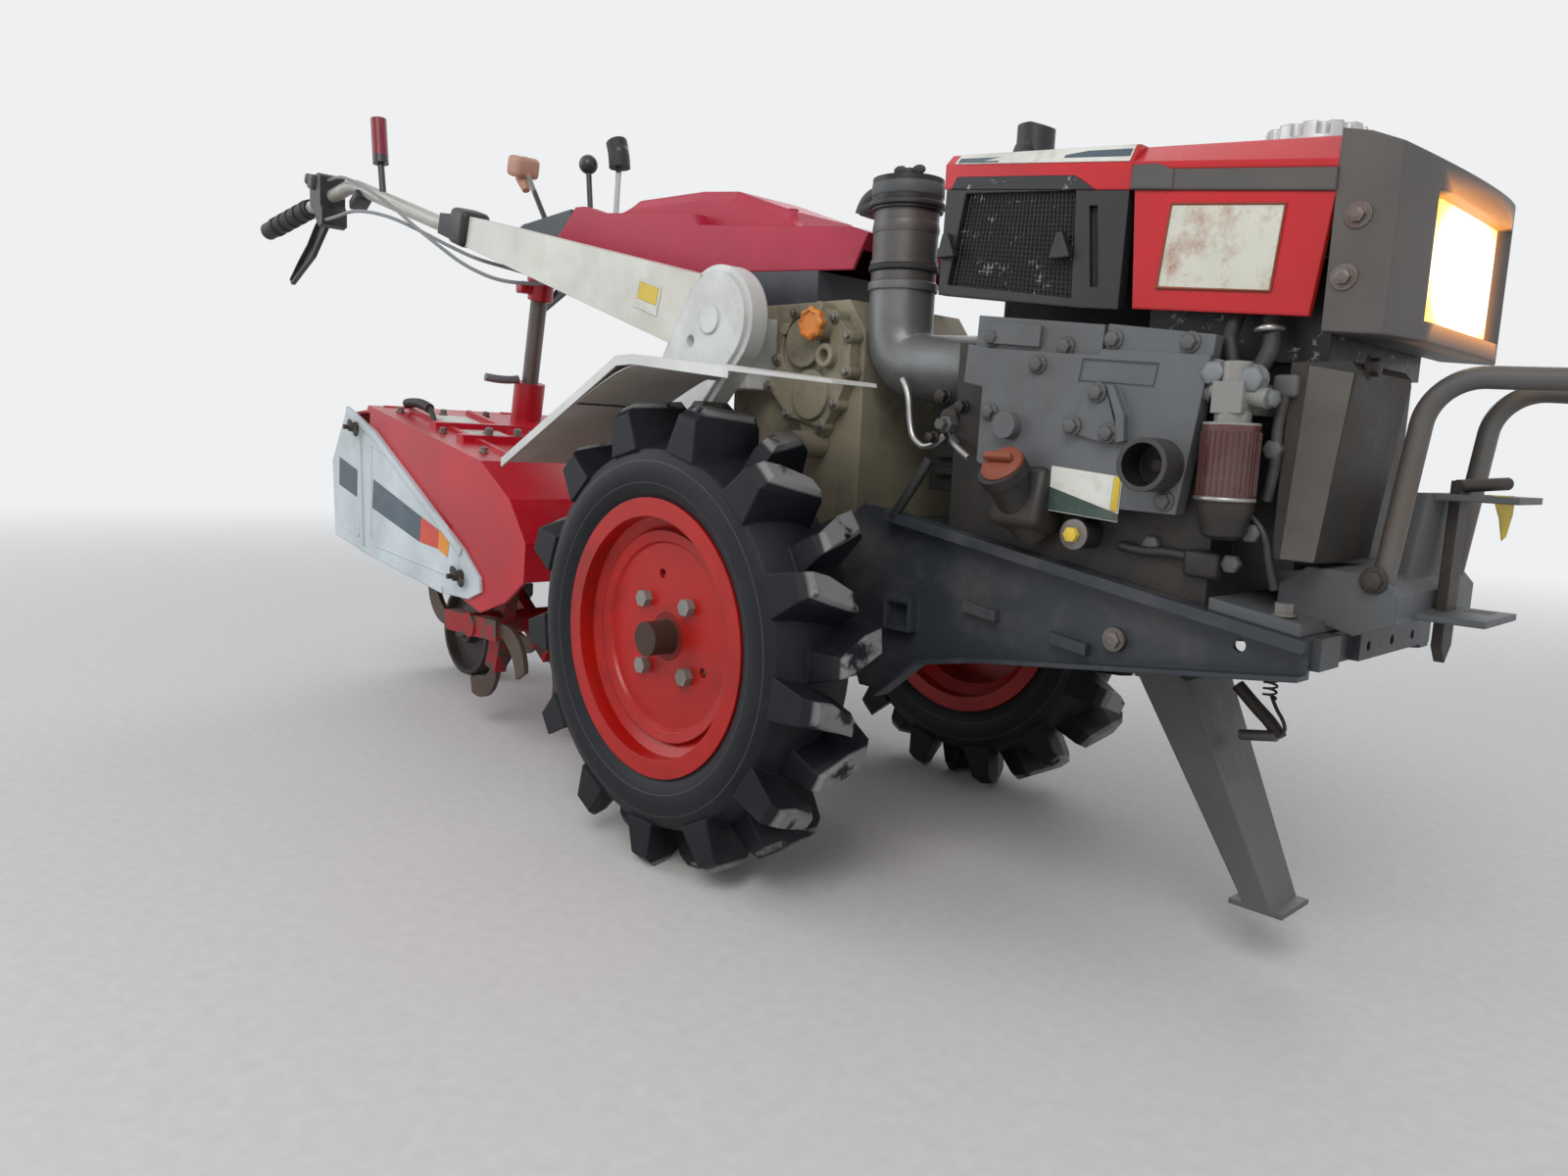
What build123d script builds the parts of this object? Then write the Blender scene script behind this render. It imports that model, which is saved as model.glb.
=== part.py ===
from build123d import *
import math
import os

# Walk-behind tractor with a rotary tiller. Millimetres, X forward, Y to the left, Z up.
# Sizes are laid out with X = 0 and Y = 0 over the middle of the wheel axle and Z = 0 on the floor.
# At the end every piece moves by one shift, so that the origin is the middle of the footprint.

# Clearances
SEAT_GAP = 0.3
RUNNING_GAP = 0.06

# Wheels
WHEEL_TRACK = 612.0
TIP_RADIUS = 287.6
CARCASS_RADIUS = 243.0
CROWN_DROP = 14.0
TYRE_WIDTH = 130.0
RIM_RADIUS = 171.0
RIM_WIDTH = 115.0
BEAD_RADIUS = 152.4
WELL_RADIUS = 130.0
RIM_SHEET = 4.0
DISC_SHEET = 6.0
DISC_SETBACK = 30.0
BOLT_CIRCLE = 120.0
BOLT_COUNT = 4
WHEEL_BOLT = 6.0
LUGS_PER_SIDE = 13
LUG_FOOT = 50.0
LUG_TIP = 24.0
LUG_SWEEP = 24.0
HUB_RADIUS = 40.0
AXLE_RADIUS = 21.0
AXLE_PROUD = 4.0

# Transmission
CASE_HALF_WIDTH = 112.0
CASE_REAR = -150.0
CASE_FRONT = 98.0
CASE_TOP = 715.0
CASE_BOTTOM = 215.0
CASE_CORNER = 45.0
HOUSING_RADIUS = 48.0
HOUSING_END = 232.0
CASE_COVER_DEPTH = 18.0
CASING_FACE = 196.0
CASING_DEPTH = 34.0
CASING_TOP = (-103.0, 688.0)
CASING_TOP_RADIUS = 73.0
CASING_LOW = (-235.0, 520.0)
CASING_LOW_RADIUS = 52.0

# Frame rails
RAIL_FACE = 155.0
RAIL_WEB = 6.0
RAIL_LIP = 20.0
RAIL_LIP_HEIGHT = 12.0
RAIL_REAR = 112.0
RAIL_SHOULDER = 202.0
RAIL_REAR_TOP = 458.0
RAIL_REAR_LOW = 238.0
RAIL_FRONT = 690.0
RAIL_FRONT_TOP = 382.0
RAIL_FRONT_LOW = 350.0
CROSS_DEPTH = 34.0

# Engine
ENGINE_HALF_WIDTH = 152.0
ENGINE_REAR = 280.0
ENGINE_MIDDLE = 590.0
ENGINE_FRONT = 650.0
ENGINE_TOP = 651.0
ENGINE_FALL = 0.074
HEAD_REAR = 165.0
NOSE_FRONT = 702.0
COVER_DEPTH = 32.0
CRANK = (548.0, 527.0)
CRANK_RADIUS = 20.0
CRANK_WALL = 5.0
CRANK_DEPTH = 34.0
BELT_COVER_DEPTH = 75.0

# Hood and lamp
HOOD_HALF_WIDTH = 160.0
HOOD_REAR = 250.0
HOOD_SPLIT = 480.0
HOOD_FRONT = 672.0
HOOD_SHEET = 4.0
HOOD_LOW = 818.0
HOOD_LOW_FALL = 0.1277
HOOD_TOP = 856.0
HOOD_TOP_FALL = 0.098
TRIM_HEIGHT = 19.0
PANEL_SHEET = 8.0
GRILLE_END = 431.0
LAMP_CORNER = 722.0
LAMP_FRONT = 748.0
GLASS_X = 722.0
GLASS_HALF_WIDTH = 84.0
GLASS_LOW = 662.0
GLASS_TOP = 764.0
CAP_X = 584.0
CAP_TOP = 859.0
CAP_RADIUS = 46.0
NECK_RADIUS = 30.0

# Air cleaner and exhaust
AIR = (136.0, -90.0)
BOWL_RADIUS = 40.0
BOWL_LOW = 733.0
BOWL_TOP = 817.0
ELBOW_RADIUS = 34.0
EXHAUST = (205.0, 70.0)
EXHAUST_RADIUS = 24.0
EXHAUST_TOP = 943.0

# Top cover and handles
COVER_HALF_WIDTH = 104.0
COVER_SEAT = 757.0
COVER_RISE = 0.06
COVER_SHEET = 4.0
FRAME_REAR = -640.0
BEAM_WIDTH = 42.0
TUBE_RADIUS = 13.0
GRIP_RADIUS = 17.0
CABLE_RADIUS = 3.0
FENDER_SHEET = 4.5
FENDER_OUTER = 378.0

# Front bracket
BRACKET_REAR = 640.0
HOOP_HALF = 100.0
HOOP_RADIUS = 9.5
HOOP_FRONT = 940.0
HOOP_TOP = 606.0
HITCH_PLATE = 6.0
PIN_X = 750.0
PIN_HALF = 15.0
PIN_THICK = 9.0

# Stand
HINGE_X = 498.0
HINGE_Z = 346.0
HINGE_PIN = 8.0
STAND_SHEET = 5.0
STAND_FOOT_X = 622.0
STAND_FOOT_Z = 72.0

# Tiller
TILLER_HALF_WIDTH = 300.0
TILLER_SHEET = 5.0
SIDE_PLATE = 5.0
RIB_HEIGHT = 6.0
GEARBOX_HALF = 38.0
ROTOR_X = -600.0
ROTOR_Z = 205.0
ROTOR_SHAFT = 20.0
TINE_REACH = 172.0
TINE_THICK = 8.0
TINE_STATIONS = 5
TINE_ROOT = 12.0
HOLDER_HALF = 17.0
HOLDER_REACH = 88.0
LID_X = -966.0
LID_Z = 553.0
LID_PIN = 6.0
COLUMN_RADIUS = 16.0
COLLAR_RADIUS = 30.0
TAIL_X = -1100.0
TAIL_RADIUS = 95.0
TAIL_WIDTH = 70.0
TAIL_PIN = 9.0


def prism(points, y_from, y_to):
    """A flat plate whose outline lies in the XZ plane."""
    outline = make_face(Polyline(*[(x, y_from, z) for x, z in points], close=True))
    return extrude(outline, amount=y_to - y_from, dir=(0, 1, 0))


def block(x0, x1, y0, y1, z0, z1):
    """A box between its two corners."""
    return Pos((x0 + x1) / 2, (y0 + y1) / 2, (z0 + z1) / 2) * Box(x1 - x0, y1 - y0, z1 - z0)


def rod(start, end, radius):
    """A round bar between two points."""
    axis = Vector(*end) - Vector(*start)
    plane = Plane(origin=start, z_dir=axis)
    return extrude(plane * Circle(radius), amount=axis.length)


def boss(x, z, radius, y_from, y_to):
    """A round boss along Y."""
    return rod((x, y_from, z), (x, y_to, z), radius)


def tube(points, bends, radius):
    """A round tube along straight runs joined by arcs."""
    path = FilletPolyline(*points, radius=bends)
    first = Vector(*points[1]) - Vector(*points[0])
    return sweep(Plane(origin=points[0], z_dir=first) * Circle(radius), path=path)


def hollow(points, y_from, y_to, wall, drop=0.0):
    """A prism with an even wall; with drop, its underside is open."""
    outline = make_face(Polyline(*[(x, y_from + wall, z) for x, z in points], close=True))
    inside = extrude(offset(outline, amount=-wall), amount=y_to - y_from - 2 * wall, dir=(0, 1, 0))
    shell = prism(points, y_from, y_to) - inside
    return shell - Pos(0, 0, -drop) * inside if drop else shell


def across(x, points):
    """A flat section in the plane at x, from (y, z) corners."""
    return make_face(Polyline(*[(x, y, z) for y, z in points], close=True))


def along(y, points):
    """A flat section in the plane at y, from (x, z) corners."""
    return make_face(Polyline(*[(x, y, z) for x, z in points], close=True))


def both(shape):
    """A piece and its mirror image across the middle plane."""
    return shape, mirror(shape, about=Plane.XZ)


def pair(shape):
    """A piece with its mirror image, as two solids of one node."""
    return shape + mirror(shape, about=Plane.XZ)


def lathe(points):
    """A body of revolution about the Y axis, from (radius, y) corners."""
    return revolve(make_face(Polyline(*[(r, y, 0) for r, y in points], close=True)), axis=Axis.Y)


def polar(radius, degrees):
    """Offsets along X and Z of a point on a circle around a line along Y."""
    return radius * math.cos(math.radians(degrees)), radius * math.sin(math.radians(degrees))


pieces = {}
axle_z = TIP_RADIUS
wheel_y = -WHEEL_TRACK / 2
disc_y = wheel_y - RIM_WIDTH / 2 + DISC_SETBACK


def make_lug():
    """One tall swept paddle of the outer row, standing on the tread."""
    half = TYRE_WIDTH / 2
    levels = [
        # level, half thickness, outer end, middle, inner end
        (CARCASS_RADIUS - CROWN_DROP - 2, LUG_FOOT / 2, half - 3, half * 0.4, -half * 0.36),
        (TIP_RADIUS - CROWN_DROP, LUG_TIP / 2 + 4, half - 5, half * 0.4, -half * 0.28),
        (TIP_RADIUS, LUG_TIP / 2, half - 20, half * 0.35, -half * 0.16),
    ]
    sections = []
    for level, thick, outer, middle, inner in levels:
        rear = [(-thick, -outer), (LUG_SWEEP * 0.25 - thick, -middle), (LUG_SWEEP - thick * 0.8, -inner)]
        front = [(LUG_SWEEP + thick * 0.8, -inner), (LUG_SWEEP * 0.4 + thick, -middle), (thick, -outer)]
        corners = [(x, y, level) for x, y in rear + front]
        sections.append(make_face(Polyline(*corners, close=True)))
    return loft(sections, ruled=True)


def make_tyre():
    """Carcass with paddle lugs that alternate from the two shoulders."""
    half = TYRE_WIDTH / 2
    bead = BEAD_RADIUS + SEAT_GAP
    inside = RIM_WIDTH / 2 - RIM_SHEET - SEAT_GAP
    side = (CARCASS_RADIUS + RIM_RADIUS) / 2
    shoulder = CARCASS_RADIUS - CROWN_DROP
    section = [
        Polyline((bead, inside, 0), (bead, -inside, 0), (RIM_RADIUS, -inside, 0)),
        ThreePointArc((RIM_RADIUS, -inside, 0), (side, -half, 0), (shoulder, 8 - half, 0)),
        ThreePointArc((shoulder, 8 - half, 0), (CARCASS_RADIUS, 0, 0), (shoulder, half - 8, 0)),
        ThreePointArc((shoulder, half - 8, 0), (side, half, 0), (RIM_RADIUS, inside, 0)),
        Line((RIM_RADIUS, inside, 0), (bead, inside, 0)),
    ]
    body = revolve(make_face(section), axis=Axis.Y)
    lug = make_lug()
    pitch = 360.0 / LUGS_PER_SIDE
    lugs = []
    for i in range(LUGS_PER_SIDE):
        # one lug of the outer row stands straight under the axle
        lugs.append(Rot(0, 180 + i * pitch, 0) * lug)
        lugs.append(Rot(0, 180 + (i + 0.5) * pitch, 0) * mirror(lug, about=Plane.XZ))
    return Pos(0, wheel_y, axle_z) * body.fuse(*lugs)


def make_rim():
    """Pressed rim with bead seats, a well and a bolted disc near the outer face."""
    half = RIM_WIDTH / 2
    t = RIM_SHEET
    well = half * 0.45
    slope = 10
    outside = [(RIM_RADIUS, -half), (RIM_RADIUS, t - half), (BEAD_RADIUS, t - half), (BEAD_RADIUS, -well - slope),
               (WELL_RADIUS + t, -well), (WELL_RADIUS + t, well), (BEAD_RADIUS, well + slope),
               (BEAD_RADIUS, half - t), (RIM_RADIUS, half - t), (RIM_RADIUS, half)]
    inside = [(BEAD_RADIUS - t, half), (BEAD_RADIUS - t, well + slope), (WELL_RADIUS, well),
              (WELL_RADIUS, -well), (BEAD_RADIUS - t, -well - slope), (BEAD_RADIUS - t, -half)]
    face = DISC_SETBACK - half
    hole = AXLE_RADIUS + 9
    edge = WELL_RADIUS + 1
    disc = [(hole, face), (hole, face + DISC_SHEET), (edge, face + DISC_SHEET), (edge, face - 7),
            (edge - 13, face - 4), (edge - 16, face)]
    rim = Pos(0, wheel_y, axle_z) * (lathe(outside + inside) + lathe(disc))
    holes = []
    for i in range(BOLT_COUNT):
        x, z = polar(BOLT_CIRCLE / 2, 45 + 360 / BOLT_COUNT * i)
        holes.append(boss(x, axle_z + z, WHEEL_BOLT + SEAT_GAP, disc_y - 9, disc_y + 9))
    for degrees, radius in ((100, 78), (220, 78), (335, 78)):
        x, z = polar(radius, degrees)
        holes.append(boss(x, axle_z + z, 6, disc_y - 9, disc_y + 9))
    return rim.cut(*holes)


def make_axle():
    """Half shaft with the hub flange that the disc is bolted to."""
    flange_y = disc_y + DISC_SHEET
    tip = wheel_y - RIM_WIDTH / 2 - AXLE_PROUD
    shaft = boss(0, axle_z, AXLE_RADIUS, tip, -60)
    hub = boss(0, axle_z, HUB_RADIUS, flange_y, -HOUSING_END - 6)
    flange = boss(0, axle_z, BOLT_CIRCLE / 2 + 16, flange_y, flange_y + 14)
    collar = boss(0, axle_z, AXLE_RADIUS + 9 - SEAT_GAP, disc_y, flange_y)
    bolts = []
    for i in range(BOLT_COUNT):
        x, z = polar(BOLT_CIRCLE / 2, 45 + 360 / BOLT_COUNT * i)
        head = Pos(x, disc_y, axle_z + z) * Rot(90, 0, 0) * extrude(RegularPolygon(11, 6), amount=11)
        bolts.append(head + boss(x, axle_z + z, WHEEL_BOLT, disc_y, flange_y + 1))
    return shaft.fuse(hub, flange, collar, *bolts)


pieces["tyre_right"], pieces["tyre_left"] = both(make_tyre())
pieces["rim_right"], pieces["rim_left"] = both(make_rim())
pieces["axle_right"], pieces["axle_left"] = both(make_axle())


def make_gear_case():
    """Cast gear case between the wheels, with a housing for each half shaft."""
    c = CASE_CORNER
    outline = [(CASE_REAR, CASE_BOTTOM + c), (CASE_REAR + c, CASE_BOTTOM), (CASE_FRONT - c, CASE_BOTTOM),
               (CASE_FRONT, CASE_BOTTOM + c), (CASE_FRONT, CASE_TOP - 40), (CASE_FRONT - 30, CASE_TOP),
               (CASE_REAR + 60, CASE_TOP), (CASE_REAR, CASE_TOP - 90)]
    body = prism(outline, -CASE_HALF_WIDTH, CASE_HALF_WIDTH)
    seam = prism([(x * 1.04, z + 4 if z > axle_z else z - 4) for x, z in outline], -8, 8)
    for step, radius in ((30, HOUSING_RADIUS + 26), (60, HOUSING_RADIUS + 12)):
        body = body + boss(0, axle_z, radius, -CASE_HALF_WIDTH - step, CASE_HALF_WIDTH + step)
    body = body + boss(0, axle_z, HOUSING_RADIUS, -HOUSING_END, HOUSING_END)
    trimmed = seam & block(CASE_REAR, CASE_FRONT, -8, 8, CASE_BOTTOM - 4, CASE_TOP - 1)
    for side in (-1, 1):
        reach = (side * 59, side * (HOUSING_END + 1))
        body = body - boss(0, axle_z, AXLE_RADIUS + RUNNING_GAP, min(reach), max(reach))
    return body + trimmed


case_face = -CASE_HALF_WIDTH
cover_face = case_face - CASE_COVER_DEPTH
cover_edge = [(-12, 703), (34, 708), (64, 694), (90, 668), (90, 622), (70, 580), (46, 551), (-20, 566),
              (-58, 604), (-44, 640), (-32, 682)]
case_cover = prism(cover_edge, cover_face, case_face)
case_cover = case_cover - boss(10, 655, 44, cover_face - 1, cover_face + 5)
case_cover = case_cover + boss(8, 661, 32, cover_face - 4, case_face - 6) + boss(26, 594, 32, cover_face - 6, case_face)
case_cover = case_cover + boss(55, 643, 15, cover_face - 12, case_face) - boss(55, 643, 8, cover_face - 13, cover_face)
case_cover = case_cover + boss(41, 682, 19, cover_face - 16, case_face)
for x, z in cover_edge:
    case_cover = case_cover + boss(x * 0.97, 630 + (z - 630) * 0.96, 8, cover_face - 3, case_face)
side_tube = boss(27, 530, 17, case_face - 62, case_face)
pieces["case_cover"] = case_cover.fuse(side_tube, boss(26, 560, 26, cover_face + 6, case_face))
pieces["gear_case"] = make_gear_case()

# Drive casing on the right and its twin, the handle bracket, on the left


def capsule(start, start_radius, end, end_radius, y_from, y_to):
    """A plate round at both ends, with straight sides that touch both rounds."""
    dx, dz = end[0] - start[0], end[1] - start[1]
    reach = math.hypot(dx, dz)
    turn = math.atan2(dz, dx)
    lean = math.acos((start_radius - end_radius) / reach)
    corners = []
    for centre, radius, sign in ((start, start_radius, 1), (end, end_radius, 1),
                                 (end, end_radius, -1), (start, start_radius, -1)):
        angle = turn + sign * lean
        corners.append((centre[0] + radius * math.cos(angle), centre[1] + radius * math.sin(angle)))
    sides = prism(corners, y_from, y_to)
    return sides + boss(*start, start_radius, y_from, y_to) + boss(*end, end_radius, y_from, y_to)


def make_casing():
    """Pressed casing: a dished front half, a dark joint and a back half on a neck."""
    back = CASING_DEPTH - CASING_FACE
    front = capsule(CASING_TOP, CASING_TOP_RADIUS, CASING_LOW, CASING_LOW_RADIUS, 6 - CASING_FACE, back)
    dish = capsule(CASING_TOP, CASING_TOP_RADIUS - 9, CASING_LOW, CASING_LOW_RADIUS - 9, -CASING_FACE, 7 - CASING_FACE)
    raised = boss(CASING_TOP[0] - 6, CASING_TOP[1] + 2, 20, -CASING_FACE - 3, -CASING_FACE)
    neck = block(CASE_REAR + 10, CASING_TOP[0] + 38, back, -CASE_HALF_WIDTH, 600, CASE_TOP - 20)
    peep = boss(CASING_TOP[0] - 46, CASING_TOP[1] - 26, 8, -CASING_FACE - 1, 10 - CASING_FACE)
    return front.fuse(dish, raised, neck) - peep


casing = make_casing()
pieces["drive_casing"], pieces["handle_bracket"] = both(casing)


def rail_top(x):
    """Height of the rail's top edge at x."""
    share = (x - RAIL_SHOULDER) / (RAIL_FRONT - RAIL_SHOULDER)
    return RAIL_REAR_TOP + share * (RAIL_FRONT_TOP - RAIL_REAR_TOP)


def make_rail():
    """Tapering side plate with an outward lip along its top and bottom edges."""
    low_edge = [(RAIL_SHOULDER, RAIL_REAR_LOW), (262, 288), (350, 306), (RAIL_FRONT, RAIL_FRONT_LOW)]
    web = [(RAIL_REAR, RAIL_REAR_TOP - 26), (RAIL_REAR + 40, RAIL_REAR_TOP + 4), (RAIL_SHOULDER, RAIL_REAR_TOP),
           (RAIL_FRONT, RAIL_FRONT_TOP)]
    web = web + low_edge[::-1] + [(RAIL_REAR + 48, RAIL_REAR_LOW), (RAIL_REAR + 20, 300)]
    top = [(RAIL_SHOULDER, RAIL_REAR_TOP), (RAIL_FRONT, RAIL_FRONT_TOP)]
    top = top + [(x, z - RAIL_LIP_HEIGHT) for x, z in top[::-1]]
    low = low_edge + [(x, z - 5) for x, z in low_edge[::-1]]
    outer = -RAIL_FACE - RAIL_LIP
    rail = prism(web, -RAIL_FACE, RAIL_WEB - RAIL_FACE)
    rail = rail.fuse(prism(top, outer, RAIL_WEB - RAIL_FACE), prism(low, outer, RAIL_WEB - RAIL_FACE))
    # two short ribbed steps pressed on the web, the socket of a square tube and the bolt bosses
    for x in (318, 432):
        z = rail_top(x) - 74
        step = [(x, z), (x + 44, z - 6), (x + 44, z - 18), (x, z - 12)]
        rail = rail + prism(step, -RAIL_FACE - 11, -RAIL_FACE)
    socket = block(205, 247, -RAIL_FACE - 16, -RAIL_FACE, 318, 356) - block(210, 242, -RAIL_FACE - 17, -RAIL_FACE, 323, 351)
    bosses = [boss(x, z, radius, -RAIL_FACE - 8, -RAIL_FACE) for x, z, radius in ((134, 432, 11), (505, 352, 12))]
    return rail.fuse(socket, *bosses) - boss(628, 366, 6, -RAIL_FACE - 1, -100)


inner = RAIL_FACE - RAIL_WEB
pieces["frame_rails"] = pair(make_rail())
cross = block(RAIL_FRONT - CROSS_DEPTH, RAIL_FRONT + 8, -inner, inner, RAIL_FRONT_LOW + 3, RAIL_FRONT_TOP + 1)
cross = cross - block(RAIL_FRONT - 1, RAIL_FRONT + 9, 45 - inner, 95 - inner, 300, 400)
for y in (-92, -32, 32, 92):
    cross = cross - rod((RAIL_FRONT - 10, y, 366), (RAIL_FRONT + 12, y, 366), 5)
pieces["frame_front"] = cross
pieces["case_mount"] = block(CASE_FRONT, RAIL_SHOULDER, -inner, inner, 300, 440)


def engine_top(x):
    """Height of the engine's upper face at x."""
    return ENGINE_TOP - (x - ENGINE_REAR) * ENGINE_FALL


def make_engine():
    """Crankcase on the rails, cylinder head behind it and the fan housing's corner in front."""
    w = ENGINE_HALF_WIDTH
    outline = [(ENGINE_REAR, rail_top(ENGINE_REAR)), (ENGINE_MIDDLE, rail_top(ENGINE_MIDDLE)),
               (ENGINE_MIDDLE, engine_top(ENGINE_MIDDLE)), (ENGINE_REAR, engine_top(ENGINE_REAR))]
    body = prism(outline, -w, w)
    middle = [(ENGINE_MIDDLE, 436), (ENGINE_FRONT, 436), (ENGINE_FRONT, engine_top(ENGINE_FRONT)),
              (ENGINE_MIDDLE, engine_top(ENGINE_MIDDLE))]
    body = body + prism(middle, 46 - w, w)
    nose = [(ENGINE_FRONT - 4, 448), (NOSE_FRONT - 19, 448), (NOSE_FRONT, 616), (NOSE_FRONT - 6, 623), (ENGINE_FRONT - 4, 623)]
    body = body + prism(nose, 2 - w, -14)
    sump = block(300, 430, -118, 118, 378, 460)
    head = block(HEAD_REAR, ENGINE_REAR, -50, 120, 480, 640)
    fins = [block(HEAD_REAR + 14, ENGINE_REAR, -58, -50, z, z + 7) for z in range(500, 630, 22)]
    drain = boss(463, 454, 15, -w - 30, -w)
    return body.fuse(sump, head, drain, *fins)


engine = make_engine()
pieces["engine_block"] = engine
side = -ENGINE_HALF_WIDTH
cover_y = side - COVER_DEPTH
cover_line = [(316, 645), (313, 605), (338, 600), (337, 521), (430, 484), (568, 482), (577, 545), (588, 628),
              (478, 636), (474, 630), (345, 640)]
engine_cover = prism(cover_line, cover_y, side - 14) + prism([(318, 640), (340, 520), (560, 490), (582, 625)], side - 14, side)
upper_left = prism([(320, 634), (322, 676), (474, 660), (472, 622)], cover_y + 8, side - 14)
upper_right = prism([(479, 626), (481, 660), (590, 646), (587, 616)], cover_y + 3, side - 14)
engine_cover = engine_cover.fuse(upper_left, upper_right)
engine_cover = engine_cover + prism([(338, 646), (339, 668), (404, 661), (403, 640)], cover_y + 3, cover_y + 9)
engine_cover = engine_cover - prism([(457, 627), (539, 621), (536, 598), (454, 604)], cover_y - 1, cover_y + 1.5)
engine_cover = engine_cover + boss(378, 560, 14, cover_y - 14, side - 14)
sub_bolts = ((480, 594), (455, 561), (495, 555))
engine_cover = engine_cover + prism([(473, 600), (487, 602), (505, 552), (492, 545), (448, 556)], cover_y - 5, cover_y)
engine_cover = engine_cover + prism([(490, 602), (498, 600), (512, 572), (514, 548), (505, 546), (503, 570)], cover_y - 9, cover_y)
for x, z in sub_bolts:
    engine_cover = engine_cover + boss(x, z, 9, cover_y - 6, cover_y)
crank_out = CRANK_RADIUS + CRANK_WALL
engine_cover = engine_cover + boss(*CRANK, crank_out, cover_y - CRANK_DEPTH, cover_y)
engine_cover = engine_cover - boss(*CRANK, CRANK_RADIUS, cover_y - CRANK_DEPTH - 1, cover_y - 0.5)
pieces["engine_cover"] = engine_cover
neck_low = (402, side - 10, 452)
neck_top = (396, cover_y - 28, 508)
cap_axis = (Vector(*neck_top) - Vector(*neck_low)).normalized()
cap_end = Vector(*neck_top) + cap_axis * 12
filler = rod(neck_low, neck_top, 22) - engine - engine_cover
pieces["oil_filler"] = filler + rod(neck_top, tuple(cap_end), 26)
recess = 46 - ENGINE_HALF_WIDTH
bowl_y = side - 24
filter_arm = block(596, 624, bowl_y - 16, recess, 576, 604)
filter_bowl = rod((610, bowl_y, 500), (610, bowl_y, 568), 25) + rod((610, bowl_y, 568), (610, bowl_y, 578), 16)
filter_cock = rod((610, bowl_y, 570), (610, bowl_y, 622), 13) + rod((590, bowl_y, 598), (640, bowl_y, 590), 9)
pieces["fuel_filter"] = filter_bowl.fuse(filter_cock, filter_arm)
belt_line = [(-20, 500), (30, 640), (120, 690), (420, 665), (560, 640), (600, 540), (520, 440), (300, 466), (20, 476)]
pieces["belt_cover"] = hollow(belt_line, ENGINE_HALF_WIDTH, ENGINE_HALF_WIDTH + BELT_COVER_DEPTH, 4)


def hood_low(x):
    """Height of the hood's lower edge at x."""
    return HOOD_LOW - (x - HOOD_REAR) * HOOD_LOW_FALL


def hood_top(x):
    """Height of the hood's upper face at x."""
    return HOOD_TOP - (x - HOOD_REAR) * HOOD_TOP_FALL


def hood_section(x, lift, band, lean, inset):
    """Half-box section of the hood at x; inset gives the inner face of the sheet."""
    w = HOOD_HALF_WIDTH - inset
    low = hood_low(x) + lift - 2 * inset
    knee = hood_low(x) + lift + band - inset * 0.5
    top = hood_top(x) - inset
    rim_y = w - lean
    return across(x, [(-w, low), (-w, knee), (-rim_y, top), (rim_y, top), (w, knee), (w, low)])


def hood_shell(x0, x1, lift, band, lean):
    """Pressed sheet hood, open below."""
    t = HOOD_SHEET
    outer = loft([hood_section(x0, lift, band, lean, 0), hood_section(x1, lift, band, lean, 0)], ruled=True)
    hole = loft([hood_section(x0 + t, lift, band, lean, t), hood_section(x1 - t, lift, band, lean, t)], ruled=True)
    return outer - hole


pieces["hood_rear"] = hood_shell(HOOD_REAR, HOOD_SPLIT - SEAT_GAP, 0, 26, 12)
neck_hole = Pos(CAP_X, 0, hood_top(CAP_X)) * Cylinder(NECK_RADIUS + SEAT_GAP, 60)
pieces["hood_front"] = hood_shell(HOOD_SPLIT, HOOD_FRONT, TRIM_HEIGHT, 7, 26) - neck_hole
trim_line = [(HOOD_SPLIT, hood_low(HOOD_SPLIT)), (HOOD_FRONT, hood_low(HOOD_FRONT)),
             (HOOD_FRONT, hood_low(HOOD_FRONT) + TRIM_HEIGHT - SEAT_GAP),
             (HOOD_SPLIT, hood_low(HOOD_SPLIT) + TRIM_HEIGHT - SEAT_GAP)]
pieces["hood_trim"] = pair(prism(trim_line, -HOOD_HALF_WIDTH - 2, 10 - HOOD_HALF_WIDTH))
panel_top = HOOD_SPLIT + 4
panel_line = [(HOOD_SPLIT + 12, 676), (HOOD_FRONT - 12, 661), (HOOD_FRONT, hood_low(HOOD_FRONT) - SEAT_GAP),
              (panel_top, hood_low(panel_top) - SEAT_GAP)]
pieces["side_panels"] = pair(prism(panel_line, -HOOD_HALF_WIDTH, PANEL_SHEET - HOOD_HALF_WIDTH))
core_half = 120
radiator_line = [(HOOD_SPLIT + 10, engine_top(HOOD_SPLIT + 10)), (ENGINE_FRONT, engine_top(ENGINE_FRONT)),
                 (HOOD_FRONT - 6, engine_top(ENGINE_FRONT)),
                 (HOOD_FRONT - 6, hood_top(HOOD_FRONT - 6) - HOOD_SHEET - SEAT_GAP),
                 (HOOD_SPLIT + 10, hood_top(HOOD_SPLIT + 10) - HOOD_SHEET - SEAT_GAP)]
pieces["radiator"] = hollow(radiator_line, -core_half, core_half, 8)
grille_y = -HOOD_HALF_WIDTH
grille_line = [(HOOD_REAR, 704), (GRILLE_END, 680), (HOOD_SPLIT - 4, 676), (HOOD_SPLIT - 2, hood_low(HOOD_SPLIT) - SEAT_GAP),
               (HOOD_REAR + 3, hood_low(HOOD_REAR + 3) - SEAT_GAP)]
mesh_line = [(HOOD_REAR + 12, 714), (GRILLE_END - 8, 690), (GRILLE_END - 12, 796), (HOOD_REAR + 30, 810)]
slot_line = [(GRILLE_END + 12, 700), (GRILLE_END + 22, 699), (GRILLE_END + 14, 778), (GRILLE_END + 4, 779)]
grille = prism(grille_line, grille_y, grille_y + 14) - prism(mesh_line, grille_y - 1, grille_y + 8)
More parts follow.
